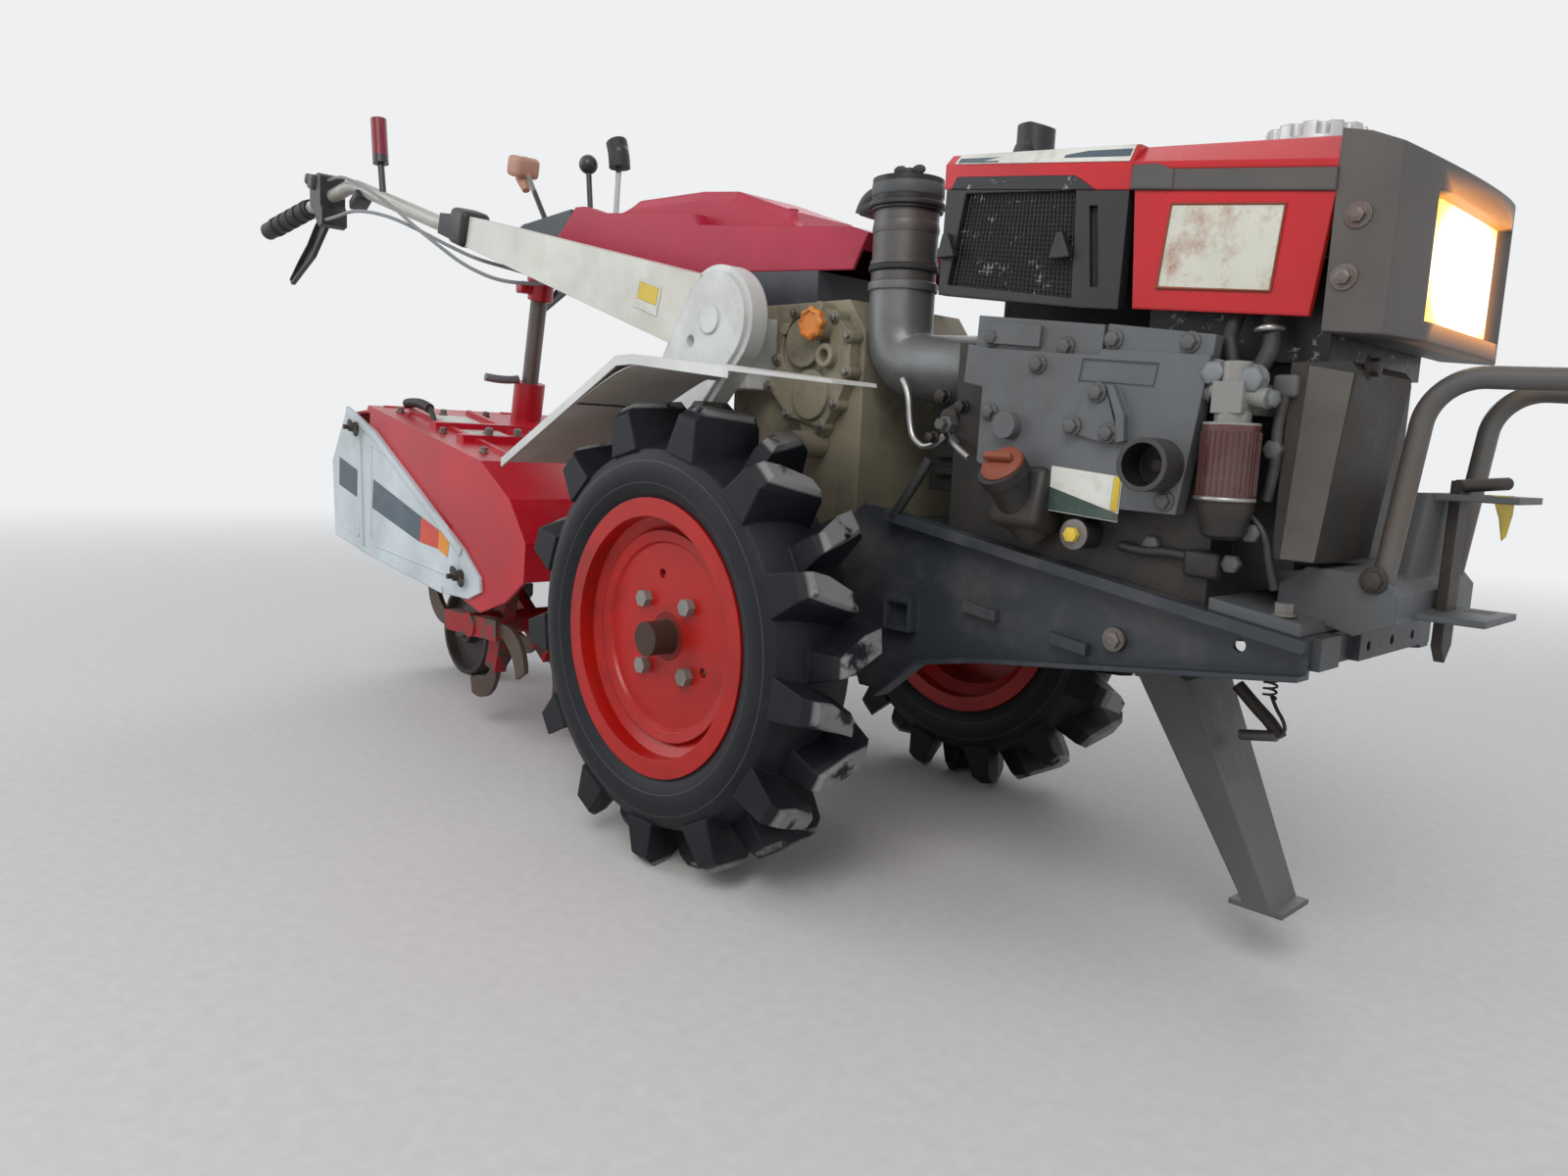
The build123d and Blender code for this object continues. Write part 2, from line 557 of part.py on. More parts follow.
pieces["grille"] = grille - prism(slot_line, grille_y - 1, grille_y + 7)
pieces["condenser"] = prism(mesh_line, grille_y + 14, grille_y + 50)
pieces["fan_cowl"] = prism(grille_line, HOOD_HALF_WIDTH - 14, HOOD_HALF_WIDTH)


def make_lamp_housing():
    """Moulded housing with a bowed front, a visor over the lamp and a splayed pocket."""
    w = HOOD_HALF_WIDTH
    join_top = hood_top(HOOD_FRONT)
    outline = [(HOOD_FRONT, 648), (LAMP_FRONT - 10, 642), (LAMP_FRONT - 8, 768), (LAMP_FRONT, 776),
               (LAMP_FRONT, 785), (HOOD_FRONT + 24, join_top - 6), (HOOD_FRONT, join_top)]
    body = prism(outline, -w, w)
    plan = make_face([Polyline((LAMP_CORNER, w, 600), (HOOD_FRONT, w, 600), (HOOD_FRONT, -w, 600), (LAMP_CORNER, -w, 600)),
                      ThreePointArc((LAMP_CORNER, -w, 600), (LAMP_FRONT, 0, 600), (LAMP_CORNER, w, 600))])
    body = body & extrude(plan, amount=300, dir=(0, 0, 1))
    splay = 52
    back = across(GLASS_X, [(-GLASS_HALF_WIDTH, GLASS_LOW), (GLASS_HALF_WIDTH, GLASS_LOW),
                            (GLASS_HALF_WIDTH, GLASS_TOP), (-GLASS_HALF_WIDTH, GLASS_TOP)])
    wide = GLASS_HALF_WIDTH + splay
    mouth = across(LAMP_FRONT + 2, [(-wide, GLASS_LOW - 6), (wide, GLASS_LOW - 6), (wide, GLASS_TOP + 4), (-wide, GLASS_TOP + 4)])
    body = body - loft([back, mouth], ruled=True)
    room = [(HOOD_FRONT - 1, 660), (GLASS_X - 10, 656), (GLASS_X - 10, 772), (HOOD_FRONT - 1, join_top - 12)]
    return body - prism(room, 10 - w, w - 10)


pieces["lamp_housing"] = make_lamp_housing()
glass_back = GLASS_X + SEAT_GAP
glass_w = GLASS_HALF_WIDTH - SEAT_GAP
pieces["lamp_glass"] = block(glass_back, glass_back + 8, -glass_w, glass_w, GLASS_LOW + SEAT_GAP, GLASS_TOP - SEAT_GAP)
cap_low = hood_top(CAP_X) - HOOD_SHEET - SEAT_GAP
cap = Pos(CAP_X, 0, CAP_TOP - 10) * Cylinder(CAP_RADIUS, 20)
cap = cap + Pos(CAP_X, 0, (cap_low + CAP_TOP - 10) / 2) * Cylinder(NECK_RADIUS, CAP_TOP - 10 - cap_low)
for i in range(12):
    x, y = polar(CAP_RADIUS, 30 * i)
    cap = cap - Pos(CAP_X + x, y, CAP_TOP - 6) * Cylinder(6, 13)
pieces["radiator_cap"] = cap - block(CAP_X - 60, CAP_X + 60, -60, 60, cap_low - 60, cap_low + 6)
exhaust = rod((*EXHAUST, 640), (*EXHAUST, EXHAUST_TOP), EXHAUST_RADIUS)
exhaust = exhaust - rod((*EXHAUST, EXHAUST_TOP - 60), (*EXHAUST, EXHAUST_TOP + 1), EXHAUST_RADIUS - 3)
slant = Plane(origin=(*EXHAUST, EXHAUST_TOP + 2), z_dir=(0.32, 0, 1)) * Rectangle(200, 200)
pieces["muffler"] = exhaust - extrude(slant, amount=60)

# Air cleaner on its cast elbow
air_x, air_y = AIR
bowl = Pos(air_x, air_y, (BOWL_LOW + BOWL_TOP) / 2) * Cylinder(BOWL_RADIUS, BOWL_TOP - BOWL_LOW)
neck_band = Pos(air_x, air_y, BOWL_LOW + 22) * Cylinder(BOWL_RADIUS + 2, 5)
cleaner_cap = Pos(air_x, air_y, BOWL_TOP + 19) * Cylinder(BOWL_RADIUS + 4, 38)
peak = rod((air_x, air_y, BOWL_TOP + 26), (air_x - 62, air_y - 8, BOWL_TOP + 4), 15) & block(0, 300, -200, 0, BOWL_TOP, 900)
nut = Pos(air_x, air_y, BOWL_TOP + 42) * Cylinder(6, 12)
pieces["air_cleaner"] = bowl.fuse(neck_band, cleaner_cap, peak, nut)
elbow_low = 632
elbow_path = [(air_x, air_y, BOWL_LOW - SEAT_GAP), (air_x, air_y, elbow_low), (ENGINE_REAR - SEAT_GAP, air_y, elbow_low - 8)]
elbow = tube(elbow_path, 48, ELBOW_RADIUS)
elbow = elbow + boss(air_x, elbow_low + 34, 10, air_y - ELBOW_RADIUS - 4, air_y)
elbow = elbow - block(ENGINE_REAR - SEAT_GAP, ENGINE_REAR + 60, -200, 0, 500, 700)
pieces["intake_elbow"] = elbow - block(HEAD_REAR, ENGINE_REAR, -59, 121, 400, 641)


def cover_seat(x):
    """Height of the seam between the handle frame and the moulded cover."""
    return COVER_SEAT - x * COVER_RISE


frame_front = 0.0
frame_line = [(frame_front, CASE_TOP), (frame_front, cover_seat(frame_front)), (FRAME_REAR, cover_seat(FRAME_REAR)),
              (FRAME_REAR, 768), (-140, CASE_TOP)]
pieces["handle_frame"] = hollow(frame_line, -COVER_HALF_WIDTH, COVER_HALF_WIDTH, 5)
low_line = [(62, cover_seat(62) + SEAT_GAP), (FRAME_REAR, cover_seat(FRAME_REAR) + SEAT_GAP), (FRAME_REAR, 866),
            (-585, 892), (-520, 888), (-275, 861), (-256, 842), (62, 806), (87, 797), (80, 786)]
lower = hollow(low_line, -COVER_HALF_WIDTH, COVER_HALF_WIDTH, COVER_SHEET, 20)
ridge_foot = [(-530, 870), (-515, 886), (-470, 893), (-300, 886), (-215, 874), (-95, 836), (-62, 819), (-62, 812)]
ridge_crest = [(-530, 870), (-500, 892), (-466, 909), (-302, 903), (-220, 893), (-98, 851), (-75, 822), (-62, 812)]
ridge = loft([along(-76, ridge_foot), along(-58, ridge_crest), along(58, ridge_crest), along(76, ridge_foot)], ruled=True)
ridge_room = [(-515, 872), (-490, 890), (-462, 903), (-304, 897), (-224, 887), (-104, 845), (-84, 820), (-240, 830)]
wing = prism([(-632, 868), (-588, 905), (-560, 903), (-470, 875), (-500, 860)], -COVER_HALF_WIDTH, 24 - COVER_HALF_WIDTH)
wings = wing + mirror(wing, about=Plane.XZ)
top_cover = lower.fuse(ridge, wings) - prism(ridge_room, -54, 54)
pieces["top_cover"] = top_cover + Pos(-112, -50, 836) * Cylinder(9, 40)
console_line = [(FRAME_REAR - SEAT_GAP, 800), (-840, 842), (-835, 893), (-800, 903), (FRAME_REAR - SEAT_GAP, 912)]
pieces["console"] = prism(console_line, -80, 80)


def console_top(x):
    """Height of the lever plate on the console at x."""
    return 903 + (x + 800) * 9 / 160


gate_line = [(-650, console_top(-650) + SEAT_GAP), (-798, console_top(-798) + SEAT_GAP),
             (-798, console_top(-798) + 4), (-650, console_top(-650) + 4)]
levers = []
lever_table = [
    # foot x, y, top x, top z
    (-775, -45, -862, 1022),
    (-700, 0, -712, 1012),
    (-680, 40, -672, 1035),
]
for x, y, x_top, z_top in lever_table:
    levers.append(rod((x, y, console_top(x) + 2), (x_top, y, z_top), 5) + Pos(x_top, y, z_top) * Sphere(17))
pieces["shift_levers"] = prism(gate_line, -62, 62).fuse(*levers)

# Handle beams, tubes and grips
beam_lean = (-1, 0, 0.28)
beam_ends = ((-150, -172, 700, BEAM_WIDTH, 104), (-730, -222, 862, BEAM_WIDTH - 6, 48))


def beam_section(x, y, z, wide, tall):
    """Cross-section of the handle beam."""
    return Plane(origin=(x, y, z), x_dir=(0, 1, 0), z_dir=beam_lean) * Rectangle(wide, tall)


beam = loft([beam_section(*row) for row in beam_ends])
beam_hole = loft([beam_section(-140, -171, 697, BEAM_WIDTH - 8, 96), beam_section(-735, -222.3, 863.4, BEAM_WIDTH - 14, 40)])
pieces["handle_beams"] = pair(beam - casing - beam_hole)
rear_end = (-730, -222, 862)
sleeve = loft([beam_section(*rear_end, BEAM_WIDTH - 6, 48), beam_section(-800, -229, 879, 32, 34)])
bend_top = (-1165, -293, 955)
grip_end = (-1375, -330, 911)
tube_path = [(-745, -224, 866), (-830, -232, 885), (-1085, -278, 972), bend_top, grip_end]
handle = tube(tube_path, [80, 80, 60], TUBE_RADIUS)
pieces["beam_ends"] = pair(sleeve - handle)
pieces["handle_tubes"] = pair(handle)
grip_way = (Vector(*grip_end) - Vector(*bend_top)).normalized()
grip_start = Vector(*bend_top) + grip_way * 62
grip_stop = Vector(*grip_end) + grip_way * 10
grip = rod(tuple(grip_start), tuple(grip_stop), GRIP_RADIUS)
for i in range(5):
    at = Vector(*bend_top) + grip_way * (74 + i * 28)
    grip = grip + rod(tuple(at), tuple(at + grip_way * 12), GRIP_RADIUS + 2)
pieces["grips"] = pair(grip - handle)
lever_line = [(-1182, 921), (-1175, 940), (-1150, 946), (-1150, 921), (-1245, 852), (-1362, 806), (-1368, 814)]
pieces["clutch_levers"] = pair(prism(lever_line, -296, -288) - handle)
lever_slot = prism(lever_line, -296 - SEAT_GAP, SEAT_GAP - 288)
bracket_front = -1148
bracket_nose = -1140
bracket_line = [(-1200, 942), (-1200, 978), (-1190, 994), (-1158, 998), (bracket_front, 992), (bracket_front, 940),
                (bracket_nose, 930), (bracket_nose, 902), (-1156, 898), (-1170, 912), (-1178, 930)]
pieces["lever_brackets"] = pair(prism(bracket_line, -316, -268) - handle - lever_slot)

# Two control cables, held by the right lever's bracket and by the handle frame's side
wall_y = -COVER_HALF_WIDTH
clutch_route = [(bracket_front, -300, 985), (-1090, -300, 985), (-1022, -298, 966), (-953, -294, 938), (-886, -288, 908),
                (-818, -285, 872), (-752, -273, 835), (-692, -253, 798), (-636, -222, 773), (-582, -184, 768),
                (-540, wall_y - 44, 775), (-540, wall_y, 775)]
throttle_route = [(bracket_nose, -309, 910), (-1086, -309, 910), (-1020, -308, 913), (-952, -303, 905), (-884, -289, 889),
                  (-818, -269, 863), (-755, -250, 836), (-698, -227, 812), (-645, -192, 797), (-600, wall_y - 44, 782),
                  (-600, wall_y, 782)]


def easy_bends(points):
    """Arc radii that let a cable bend as gently as its runs allow."""
    runs = [Vector(*b) - Vector(*a) for a, b in zip(points, points[1:])]
    radii = []
    for before, after in zip(runs, runs[1:]):
        half_turn = math.radians(before.get_angle(after)) / 2
        radii.append(0.45 * min(before.length, after.length) / math.tan(half_turn))
    return radii


for name, route in (("clutch_cable", clutch_route), ("throttle_cable", throttle_route)):
    bends = easy_bends(route)
    print(name, "bend radii", [round(b) for b in bends])
    pieces[name] = tube(route, bends, CABLE_RADIUS)
red_foot = (-985, -262, 928)
pieces["red_lever"] = (rod(red_foot, (-998, -262, 1002), 6) + rod((-998, -262, 1002), (-1008, -262, 1082), 14)) - handle

# Fenders
f = FENDER_SHEET
fender_top = [(232, 600), (-28, 626), (-62, 625), (-100, 606), (-335, 490)]
fender_line = fender_top + [(x + 2, z - f) for x, z in fender_top[::-1]]
fender = prism(fender_line, -FENDER_OUTER, -235)
tab = prism(fender_line, -236, -CASING_FACE) & block(-85, -45, -236, -CASING_FACE, 500, 700)
lip = prism([(x, z) for x, z in fender_top] + [(x + 1, z - 12) for x, z in fender_top[::-1]], -FENDER_OUTER, 3 - FENDER_OUTER)
nose_cut = make_face(Polyline((140, -FENDER_OUTER - 1, 500), (240, -FENDER_OUTER - 1, 500), (240, -300, 500), close=True))
pieces["fenders"] = pair(fender.fuse(tab, lip) - extrude(nose_cut, amount=200, dir=(0, 0, 1)))

# Front bracket, hoop and hitch
base_line = [(BRACKET_REAR, rail_top(BRACKET_REAR) + 10), (RAIL_FRONT + 20, 384), (742, 398), (742, 424), (728, 440),
             (664, 442), (650, 430), (BRACKET_REAR, 424)]
base = prism(base_line, -HOOP_HALF - 11, HOOP_HALF + 11)
feet_line = [(600, rail_top(600) + SEAT_GAP), (RAIL_FRONT - 5, rail_top(RAIL_FRONT - 5) + SEAT_GAP), (RAIL_FRONT - 5, 395), (600, 408)]
feet = prism(feet_line, -ENGINE_HALF_WIDTH - 14, ENGINE_HALF_WIDTH + 14)
feet = feet - block(ENGINE_REAR, ENGINE_MIDDLE + 1, -200, 200, 300, 500)
wall = prism([(712, 430), (732, 430), (741, 514), (731, 514)], -62, 62)
plate_top = block(731, 806, -40, 40, 508, 508 + HITCH_PLATE)
tray = block(728, 798, -60, 40, 400, 400 + HITCH_PLATE)
tray = tray - block(762, 786, 6, 12, 390, 420) - block(762, 786, 20, 26, 390, 420)
slot = block(PIN_X - PIN_THICK / 2 - 0.2, PIN_X + PIN_THICK / 2 + 0.2, -PIN_HALF - 0.2, PIN_HALF + 0.2, 300, 600)
for y in (-90, 90):
    feet = feet - Pos(650, y + math.copysign(50, y), 400) * Cylinder(5, 60)
bracket = base.fuse(feet, wall, plate_top, tray) - slot
pin_low = 372
pin = block(PIN_X - PIN_THICK / 2, PIN_X + PIN_THICK / 2, -PIN_HALF, PIN_HALF, pin_low, 526)
tip_face = across(PIN_X - PIN_THICK / 2, [(-PIN_HALF, pin_low), (PIN_HALF, pin_low), (0, pin_low - 16)])
pin = pin + extrude(tip_face, amount=PIN_THICK, dir=(1, 0, 0))
pieces["hitch_pin"] = pin + rod((PIN_X, -12, 521), (PIN_X + 24, 52, 525), 6)
x_low, x_top = 722, 745
hoop_path = [(x_low, -HOOP_HALF, 402), (x_top, -HOOP_HALF, HOOP_TOP + 8), (HOOP_FRONT, -HOOP_HALF, HOOP_TOP),
             (HOOP_FRONT, HOOP_HALF, HOOP_TOP), (x_top, HOOP_HALF, HOOP_TOP + 8), (x_low, HOOP_HALF, 402)]
hoop = tube(hoop_path, [45, 60, 60, 45], HOOP_RADIUS)
pieces["hoop"] = hoop - base
pieces["front_bracket"] = bracket

# Stand: a tapering channel that is open to the rear
def stand_section(grow, up):
    """Sections of the leg at the hinge's foot and just above the shoe."""
    top = Pos(HINGE_X + 4 - grow / 2, 0, HINGE_Z - 44) * Rectangle(57 - grow, 104 - 2 * grow)
    low = Pos(STAND_FOOT_X - grow / 2, 0, STAND_FOOT_Z + 3 + up) * Rectangle(28 - grow, 66 - 2 * grow)
    return loft([top, low])


hollow_leg = stand_section(0, 0) - Pos(-STAND_SHEET / 2 - 1, 0, 0) * stand_section(STAND_SHEET, STAND_SHEET)
ear = block(HINGE_X - 26, HINGE_X + 26, -52, 52, HINGE_Z - 50, HINGE_Z + 2) + rod((HINGE_X, -52, HINGE_Z), (HINGE_X, 52, HINGE_Z), 26)
ear = ear - block(HINGE_X - 40, HINGE_X + 40, -40, 40, HINGE_Z - 60, HINGE_Z + 40)
ear = ear + block(HINGE_X - 20, HINGE_X + 30, -52, 52, HINGE_Z - 50, HINGE_Z - 42)
shoe = block(STAND_FOOT_X - 30, STAND_FOOT_X + 26, -34, 34, STAND_FOOT_Z, STAND_FOOT_Z + 5)
stand_bore = rod((HINGE_X, -60, HINGE_Z), (HINGE_X, 60, HINGE_Z), HINGE_PIN + RUNNING_GAP)
pieces["stand"] = hollow_leg.fuse(ear, shoe) - stand_bore
hanger = prism([(HINGE_X - 22, HINGE_Z - 18), (HINGE_X + 22, HINGE_Z - 18), (HINGE_X + 30, rail_top(HINGE_X + 30) - 12),
                (HINGE_X - 30, rail_top(HINGE_X - 30) - 12)], 58, 66)
hanger = hanger + block(HINGE_X - 22, HINGE_X + 22, 66, inner, HINGE_Z - 4, HINGE_Z + 4)
hinge_rod = rod((HINGE_X, -66, HINGE_Z), (HINGE_X, 66, HINGE_Z), HINGE_PIN)
pieces["stand_hinge"] = hinge_rod.fuse(hanger, mirror(hanger, about=Plane.XZ))

# Tiller gear case, cover with a lid, side plates and column
case_line = [(CASE_REAR, 480), (CASE_REAR, 380), (-420, 380), (-530, 180), (-580, 150), (-630, 160), (-650, 210), (-560, 480)]
hole_line = [(CASE_REAR, 482), (CASE_REAR, 379), (-418, 378), (-527, 178), (-578, 140), (-662, 140), (-662, 210), (-566, 482)]
gearbox = prism(case_line, -GEARBOX_HALF, GEARBOX_HALF)
for x, z in ((-220, 430), (-330, 430), (-480, 400), (-540, 260)):
    gearbox = gearbox + boss(x, z, 14, -GEARBOX_HALF - 8, GEARBOX_HALF + 8)
pieces["tiller_case"] = gearbox - boss(ROTOR_X, ROTOR_Z, ROTOR_SHAFT + RUNNING_GAP, -60, 60)


def cover_top(x):
    """Height of the tiller cover's upper face at x, on its long rear slope."""
    return 479 + (ROTOR_X + 60 - x) * 81 / 420


w = TILLER_HALF_WIDTH
top_line = [(-960, 560), (-540, 479), (-447, 424), (-398, 361), (-402, 301), (-457, 263), (-535, 236)]
under_line = [(-407.5, 304), (-403.5, 360), (-451, 420), (-542, 474), (-960, 554.5)]
sheet = prism(top_line[:5] + under_line, -w, w)
end_wall = prism(top_line + [(-900, 320), (-960, 420)], -w, TILLER_SHEET - w)
cover = sheet.fuse(end_wall, mirror(end_wall, about=Plane.XZ))
ribs = []
for y in (-235, -120, 112, 227):
    for x0, x1 in ((-940, -700), (-690, -545)):
        rib = [(x0, cover_top(x0) - 1), (x1, cover_top(x1) - 1), (x1 - 6, cover_top(x1) + RIB_HEIGHT), (x0 + 6, cover_top(x0) + RIB_HEIGHT)]
        ribs.append(prism(rib, y, y + 9))
for x0 in (-700, -800):
    strap = [(x0, cover_top(x0) - 1), (x0 + 26, cover_top(x0 + 26) - 1), (x0 + 22, cover_top(x0) + 7), (x0 + 3, cover_top(x0) + 9)]
    ribs.append(prism(strap, -w + 40, -60))
    ribs.append(prism(strap, 60, w - 40))
cover = cover.fuse(*ribs)
hem = [(LID_X - 2, 561.5), (LID_X + 11, 559), (LID_X + 11, 553.5), (LID_X - 2, 550)]
cover = cover - prism(hole_line, -GEARBOX_HALF - SEAT_GAP, GEARBOX_HALF + SEAT_GAP)
for x, z in ((-480, 400), (-540, 260)):
    cover = cover - boss(x, z, 15, -GEARBOX_HALF - 9, GEARBOX_HALF + 9)
cover = cover + prism(hem, -w, w)
knuckles = ((-270, -210), (-30, 30), (210, 270))
for low, high in knuckles:
    cover = cover - block(LID_X - 20, LID_X + 16, low - 5, high + 5, 530, 580)
cover = cover + boss(LID_X, LID_Z, LID_PIN, -w, w)
column_low = (-985, 0, 190)
column_top = (-862, 0, 850)
column_axis = (Vector(*column_top) - Vector(*column_low)).normalized()
collar_low = Vector(*column_low) + column_axis * 365
collar = rod(tuple(collar_low), tuple(collar_low + column_axis * 75), COLLAR_RADIUS)
passage = rod((-1010, 0, 56), (-845, 0, 941), COLUMN_RADIUS + 6)
pieces["tiller_cover"] = (cover - passage + collar) - rod(column_low, column_top, COLUMN_RADIUS)
plate_line = [(-1052, 558), (-927, 515), (-586, 334), (-530, 293), (-527, 270), (-568, 254), (-654, 252), (-986, 289),
              (-1113, 308), (-1125, 452)]
plate_face = -w - SIDE_PLATE
side_plate = prism(plate_line, plate_face, -w)
edge_ribs = [
    [(-1052, 558), (-927, 515), (-586, 334), (-592, 322), (-931, 501), (-1047, 541)],
    [(-654, 252), (-986, 289), (-986, 301), (-654, 263)],
    [(-1000, 530), (-988, 526), (-975, 300), (-987, 300)],
]
for rib in edge_ribs:
    side_plate = side_plate + prism(rib, plate_face - 3, plate_face)
pieces["side_plates"] = pair(side_plate)
lid_line = [(LID_X - 8, 555), (-1046, 548), (-1108, 450), (-1100, 330), (-1095, 330), (-1103, 449), (-1043, 543), (LID_X - 8, 550)]
lid = prism(lid_line, 8 - w, w - 8)
for low, high in knuckles:
    lid = lid + boss(LID_X, LID_Z, LID_PIN + 4, low, high)
pieces["rear_cover"] = lid - boss(LID_X, LID_Z, LID_PIN + RUNNING_GAP, -400, 400)
pieces["tail_column"] = rod(column_low, column_top, COLUMN_RADIUS)
arm_out = TAIL_WIDTH / 2 + 14
arm = prism([(-1115, 82), (-1085, 82), (-962, 186), (-962, 210), (-1000, 210), (-1112, 118)], -arm_out, 8 - arm_out)
bridge = block(-1000, -962, -arm_out, arm_out, 198, 210)
fork_pin = boss(TAIL_X, TAIL_RADIUS, TAIL_PIN, -arm_out, arm_out)
pieces["tail_fork"] = arm.fuse(mirror(arm, about=Plane.XZ), bridge, fork_pin) - pieces["tail_column"]
tail = lathe([(TAIL_PIN + RUNNING_GAP, -TAIL_WIDTH / 2), (26, -TAIL_WIDTH / 2), (30, -16), (TAIL_RADIUS - 12, -16),
              (TAIL_RADIUS - 8, -TAIL_WIDTH / 2), (TAIL_RADIUS, -TAIL_WIDTH / 2), (TAIL_RADIUS, TAIL_WIDTH / 2),
              (TAIL_RADIUS - 8, TAIL_WIDTH / 2), (TAIL_RADIUS - 12, 16), (30, 16), (26, TAIL_WIDTH / 2),
              (TAIL_PIN + RUNNING_GAP, TAIL_WIDTH / 2)])
pieces["tail_wheel"] = Pos(TAIL_X, 0, TAIL_RADIUS) * tail


def make_blade(y):
    """One hooked tine, pointing up from the rotor's axis."""
    near = y - TINE_THICK / 2
    root_low = (-TINE_ROOT, near, HOLDER_REACH - 26)
    root_end = (TINE_ROOT, near, HOLDER_REACH - 26)
    back_low = (-TINE_ROOT, near, HOLDER_REACH + 10)
    front_low = (TINE_ROOT, near, HOLDER_REACH + 10)
    back_tip = (58, near, TINE_REACH - 8)
    front_tip = (72, near, TINE_REACH - 34)
    face = make_face([
        Line(root_low, back_low),
        ThreePointArc(back_low, (6, near, 143), back_tip),
        Line(back_tip, front_tip),
        ThreePointArc(front_tip, (30, near, 120), front_low),
        Line(front_low, root_end),
        Line(root_end, root_low),
    ])
    return extrude(face, amount=TINE_THICK, dir=(0, 1, 0))


def make_rotor():
    """Shaft with pairs of hooked tines in welded holders on each side of the gearbox."""
    end = TILLER_HALF_WIDTH - 12
    first = GEARBOX_HALF + 30
    solids = [boss(0, 0, ROTOR_SHAFT, -end, end)]
    step = (end - first - 14) / (TINE_STATIONS - 1)
    for side in (-1, 1):
        for i in range(TINE_STATIONS):
            y = side * (first + step * i)
            turn = 72 * i + 20 * side
            solids.append(Rot(0, turn, 0) * block(-HOLDER_HALF, HOLDER_HALF, y - 11, y + 11, -HOLDER_REACH, HOLDER_REACH))
            solids.append(Rot(0, turn, 0) * make_blade(y))
            solids.append(Rot(0, turn + 180, 0) * make_blade(y))
    return Pos(ROTOR_X, 0, ROTOR_Z) * solids[0].fuse(*solids[1:])


pieces["rotor"] = make_rotor()

# The origin: middle of the footprint, on the floor
corners = [piece.bounding_box() for piece in pieces.values()]
mid_x = (min(c.min.X for c in corners) + max(c.max.X for c in corners)) / 2
mid_y = (min(c.min.Y for c in corners) + max(c.max.Y for c in corners)) / 2
low_z = min(c.min.Z for c in corners)
print("origin shift", round(mid_x, 3), round(mid_y, 3), round(low_z, 3))
os.makedirs("parts", exist_ok=True)
for name, piece in pieces.items():
    export_step(Pos(-mid_x, -mid_y, -low_z) * piece, f"parts/{name}.step")
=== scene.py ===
# %% [markdown]
# # A walk-behind tractor with a rotary tiller
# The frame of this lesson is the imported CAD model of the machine: every wheel, cover and lever
# already stands at its real size and place. Blender adds what the eye looks for: the finish of each
# surface, and the small pieces such as bolts, wire mesh, springs and hoses.

# %% load the frame
import bpy
import bmesh
import math
from mathutils import Matrix, Vector


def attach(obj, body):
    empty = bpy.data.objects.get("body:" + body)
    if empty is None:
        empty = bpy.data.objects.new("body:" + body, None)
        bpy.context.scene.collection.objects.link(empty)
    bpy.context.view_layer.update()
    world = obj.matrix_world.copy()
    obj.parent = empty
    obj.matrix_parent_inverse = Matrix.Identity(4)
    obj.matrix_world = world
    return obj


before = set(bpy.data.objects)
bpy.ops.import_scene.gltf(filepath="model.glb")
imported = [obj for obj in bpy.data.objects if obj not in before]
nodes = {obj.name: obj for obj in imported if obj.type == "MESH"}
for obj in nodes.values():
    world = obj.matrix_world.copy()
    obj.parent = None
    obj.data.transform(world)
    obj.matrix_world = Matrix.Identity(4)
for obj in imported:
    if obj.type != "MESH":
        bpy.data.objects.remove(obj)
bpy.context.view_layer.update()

# %% [markdown]
# The machine is laid out from the middle of its wheel axle, in millimetres, because that is how a
# fitter would measure it. One function turns such a place into the metres of the frame. The
# machine's right side lies at negative Y.

# %% places
AXLE_AHEAD = 219.817    # how far the axle lies ahead of the middle of the footprint, in mm
AXLE_HEIGHT = 287.6
RIGHT, UP = (0, -1, 0), (0, 0, 1)
SIDES = ((-1, "right"), (1, "left"))


def at(x, y, z):
    """Millimetres from the axle's middle, X and Y, and from the floor, Z, as a point in metres."""
    return Vector(((x + AXLE_AHEAD) / 1000, y / 1000, z / 1000))


print("axle at", tuple(round(v, 4) for v in at(0, 0, AXLE_HEIGHT)))

# %% [markdown]
# Everything below is made of objects, meshes and nodes. Four short helpers put an object into the
# scene, turn a worked form into a mesh, add a node with its sockets filled, and draw links.

# %% first helpers
def add_object(name, data):
    """A new object in the scene."""
    thing = bpy.data.objects.new(name, data)
    bpy.context.scene.collection.objects.link(thing)
    return thing


def mesh_of(form, name):
    """The worked form as a mesh; the form itself is freed."""
    mesh = bpy.data.meshes.new(name)
    form.to_mesh(mesh)
    form.free()
    return mesh


def add_node(tree, kind, sockets=None, **values):
    """A new node with its properties and its fixed sockets set."""
    node = tree.nodes.new(kind)
    for key, value in values.items():
        setattr(node, key, value)
    for key, value in (sockets or {}).items():
        node.inputs[key].default_value = value
    return node


def link_all(tree, *pairs):
    """Links from each output to each input."""
    for source, target in pairs:
        tree.links.new(source, target)


print("first helpers ready")

# %% [markdown]
# The camera stands low at the right front corner of the machine, about a metre and a half from the
# axle, with a wide lens. Its place and turn were solved from the photo with the wheel rim as the
# known size.

# %% camera
IMAGE_WIDTH = 1600
FOCAL_PIXELS = 1120.41
SENSOR_WIDTH = 36
YAW, PITCH, ROLL = 2.3794, 0.1339, -0.0475
EYE = (1059.5, -1150.5, 534.0)


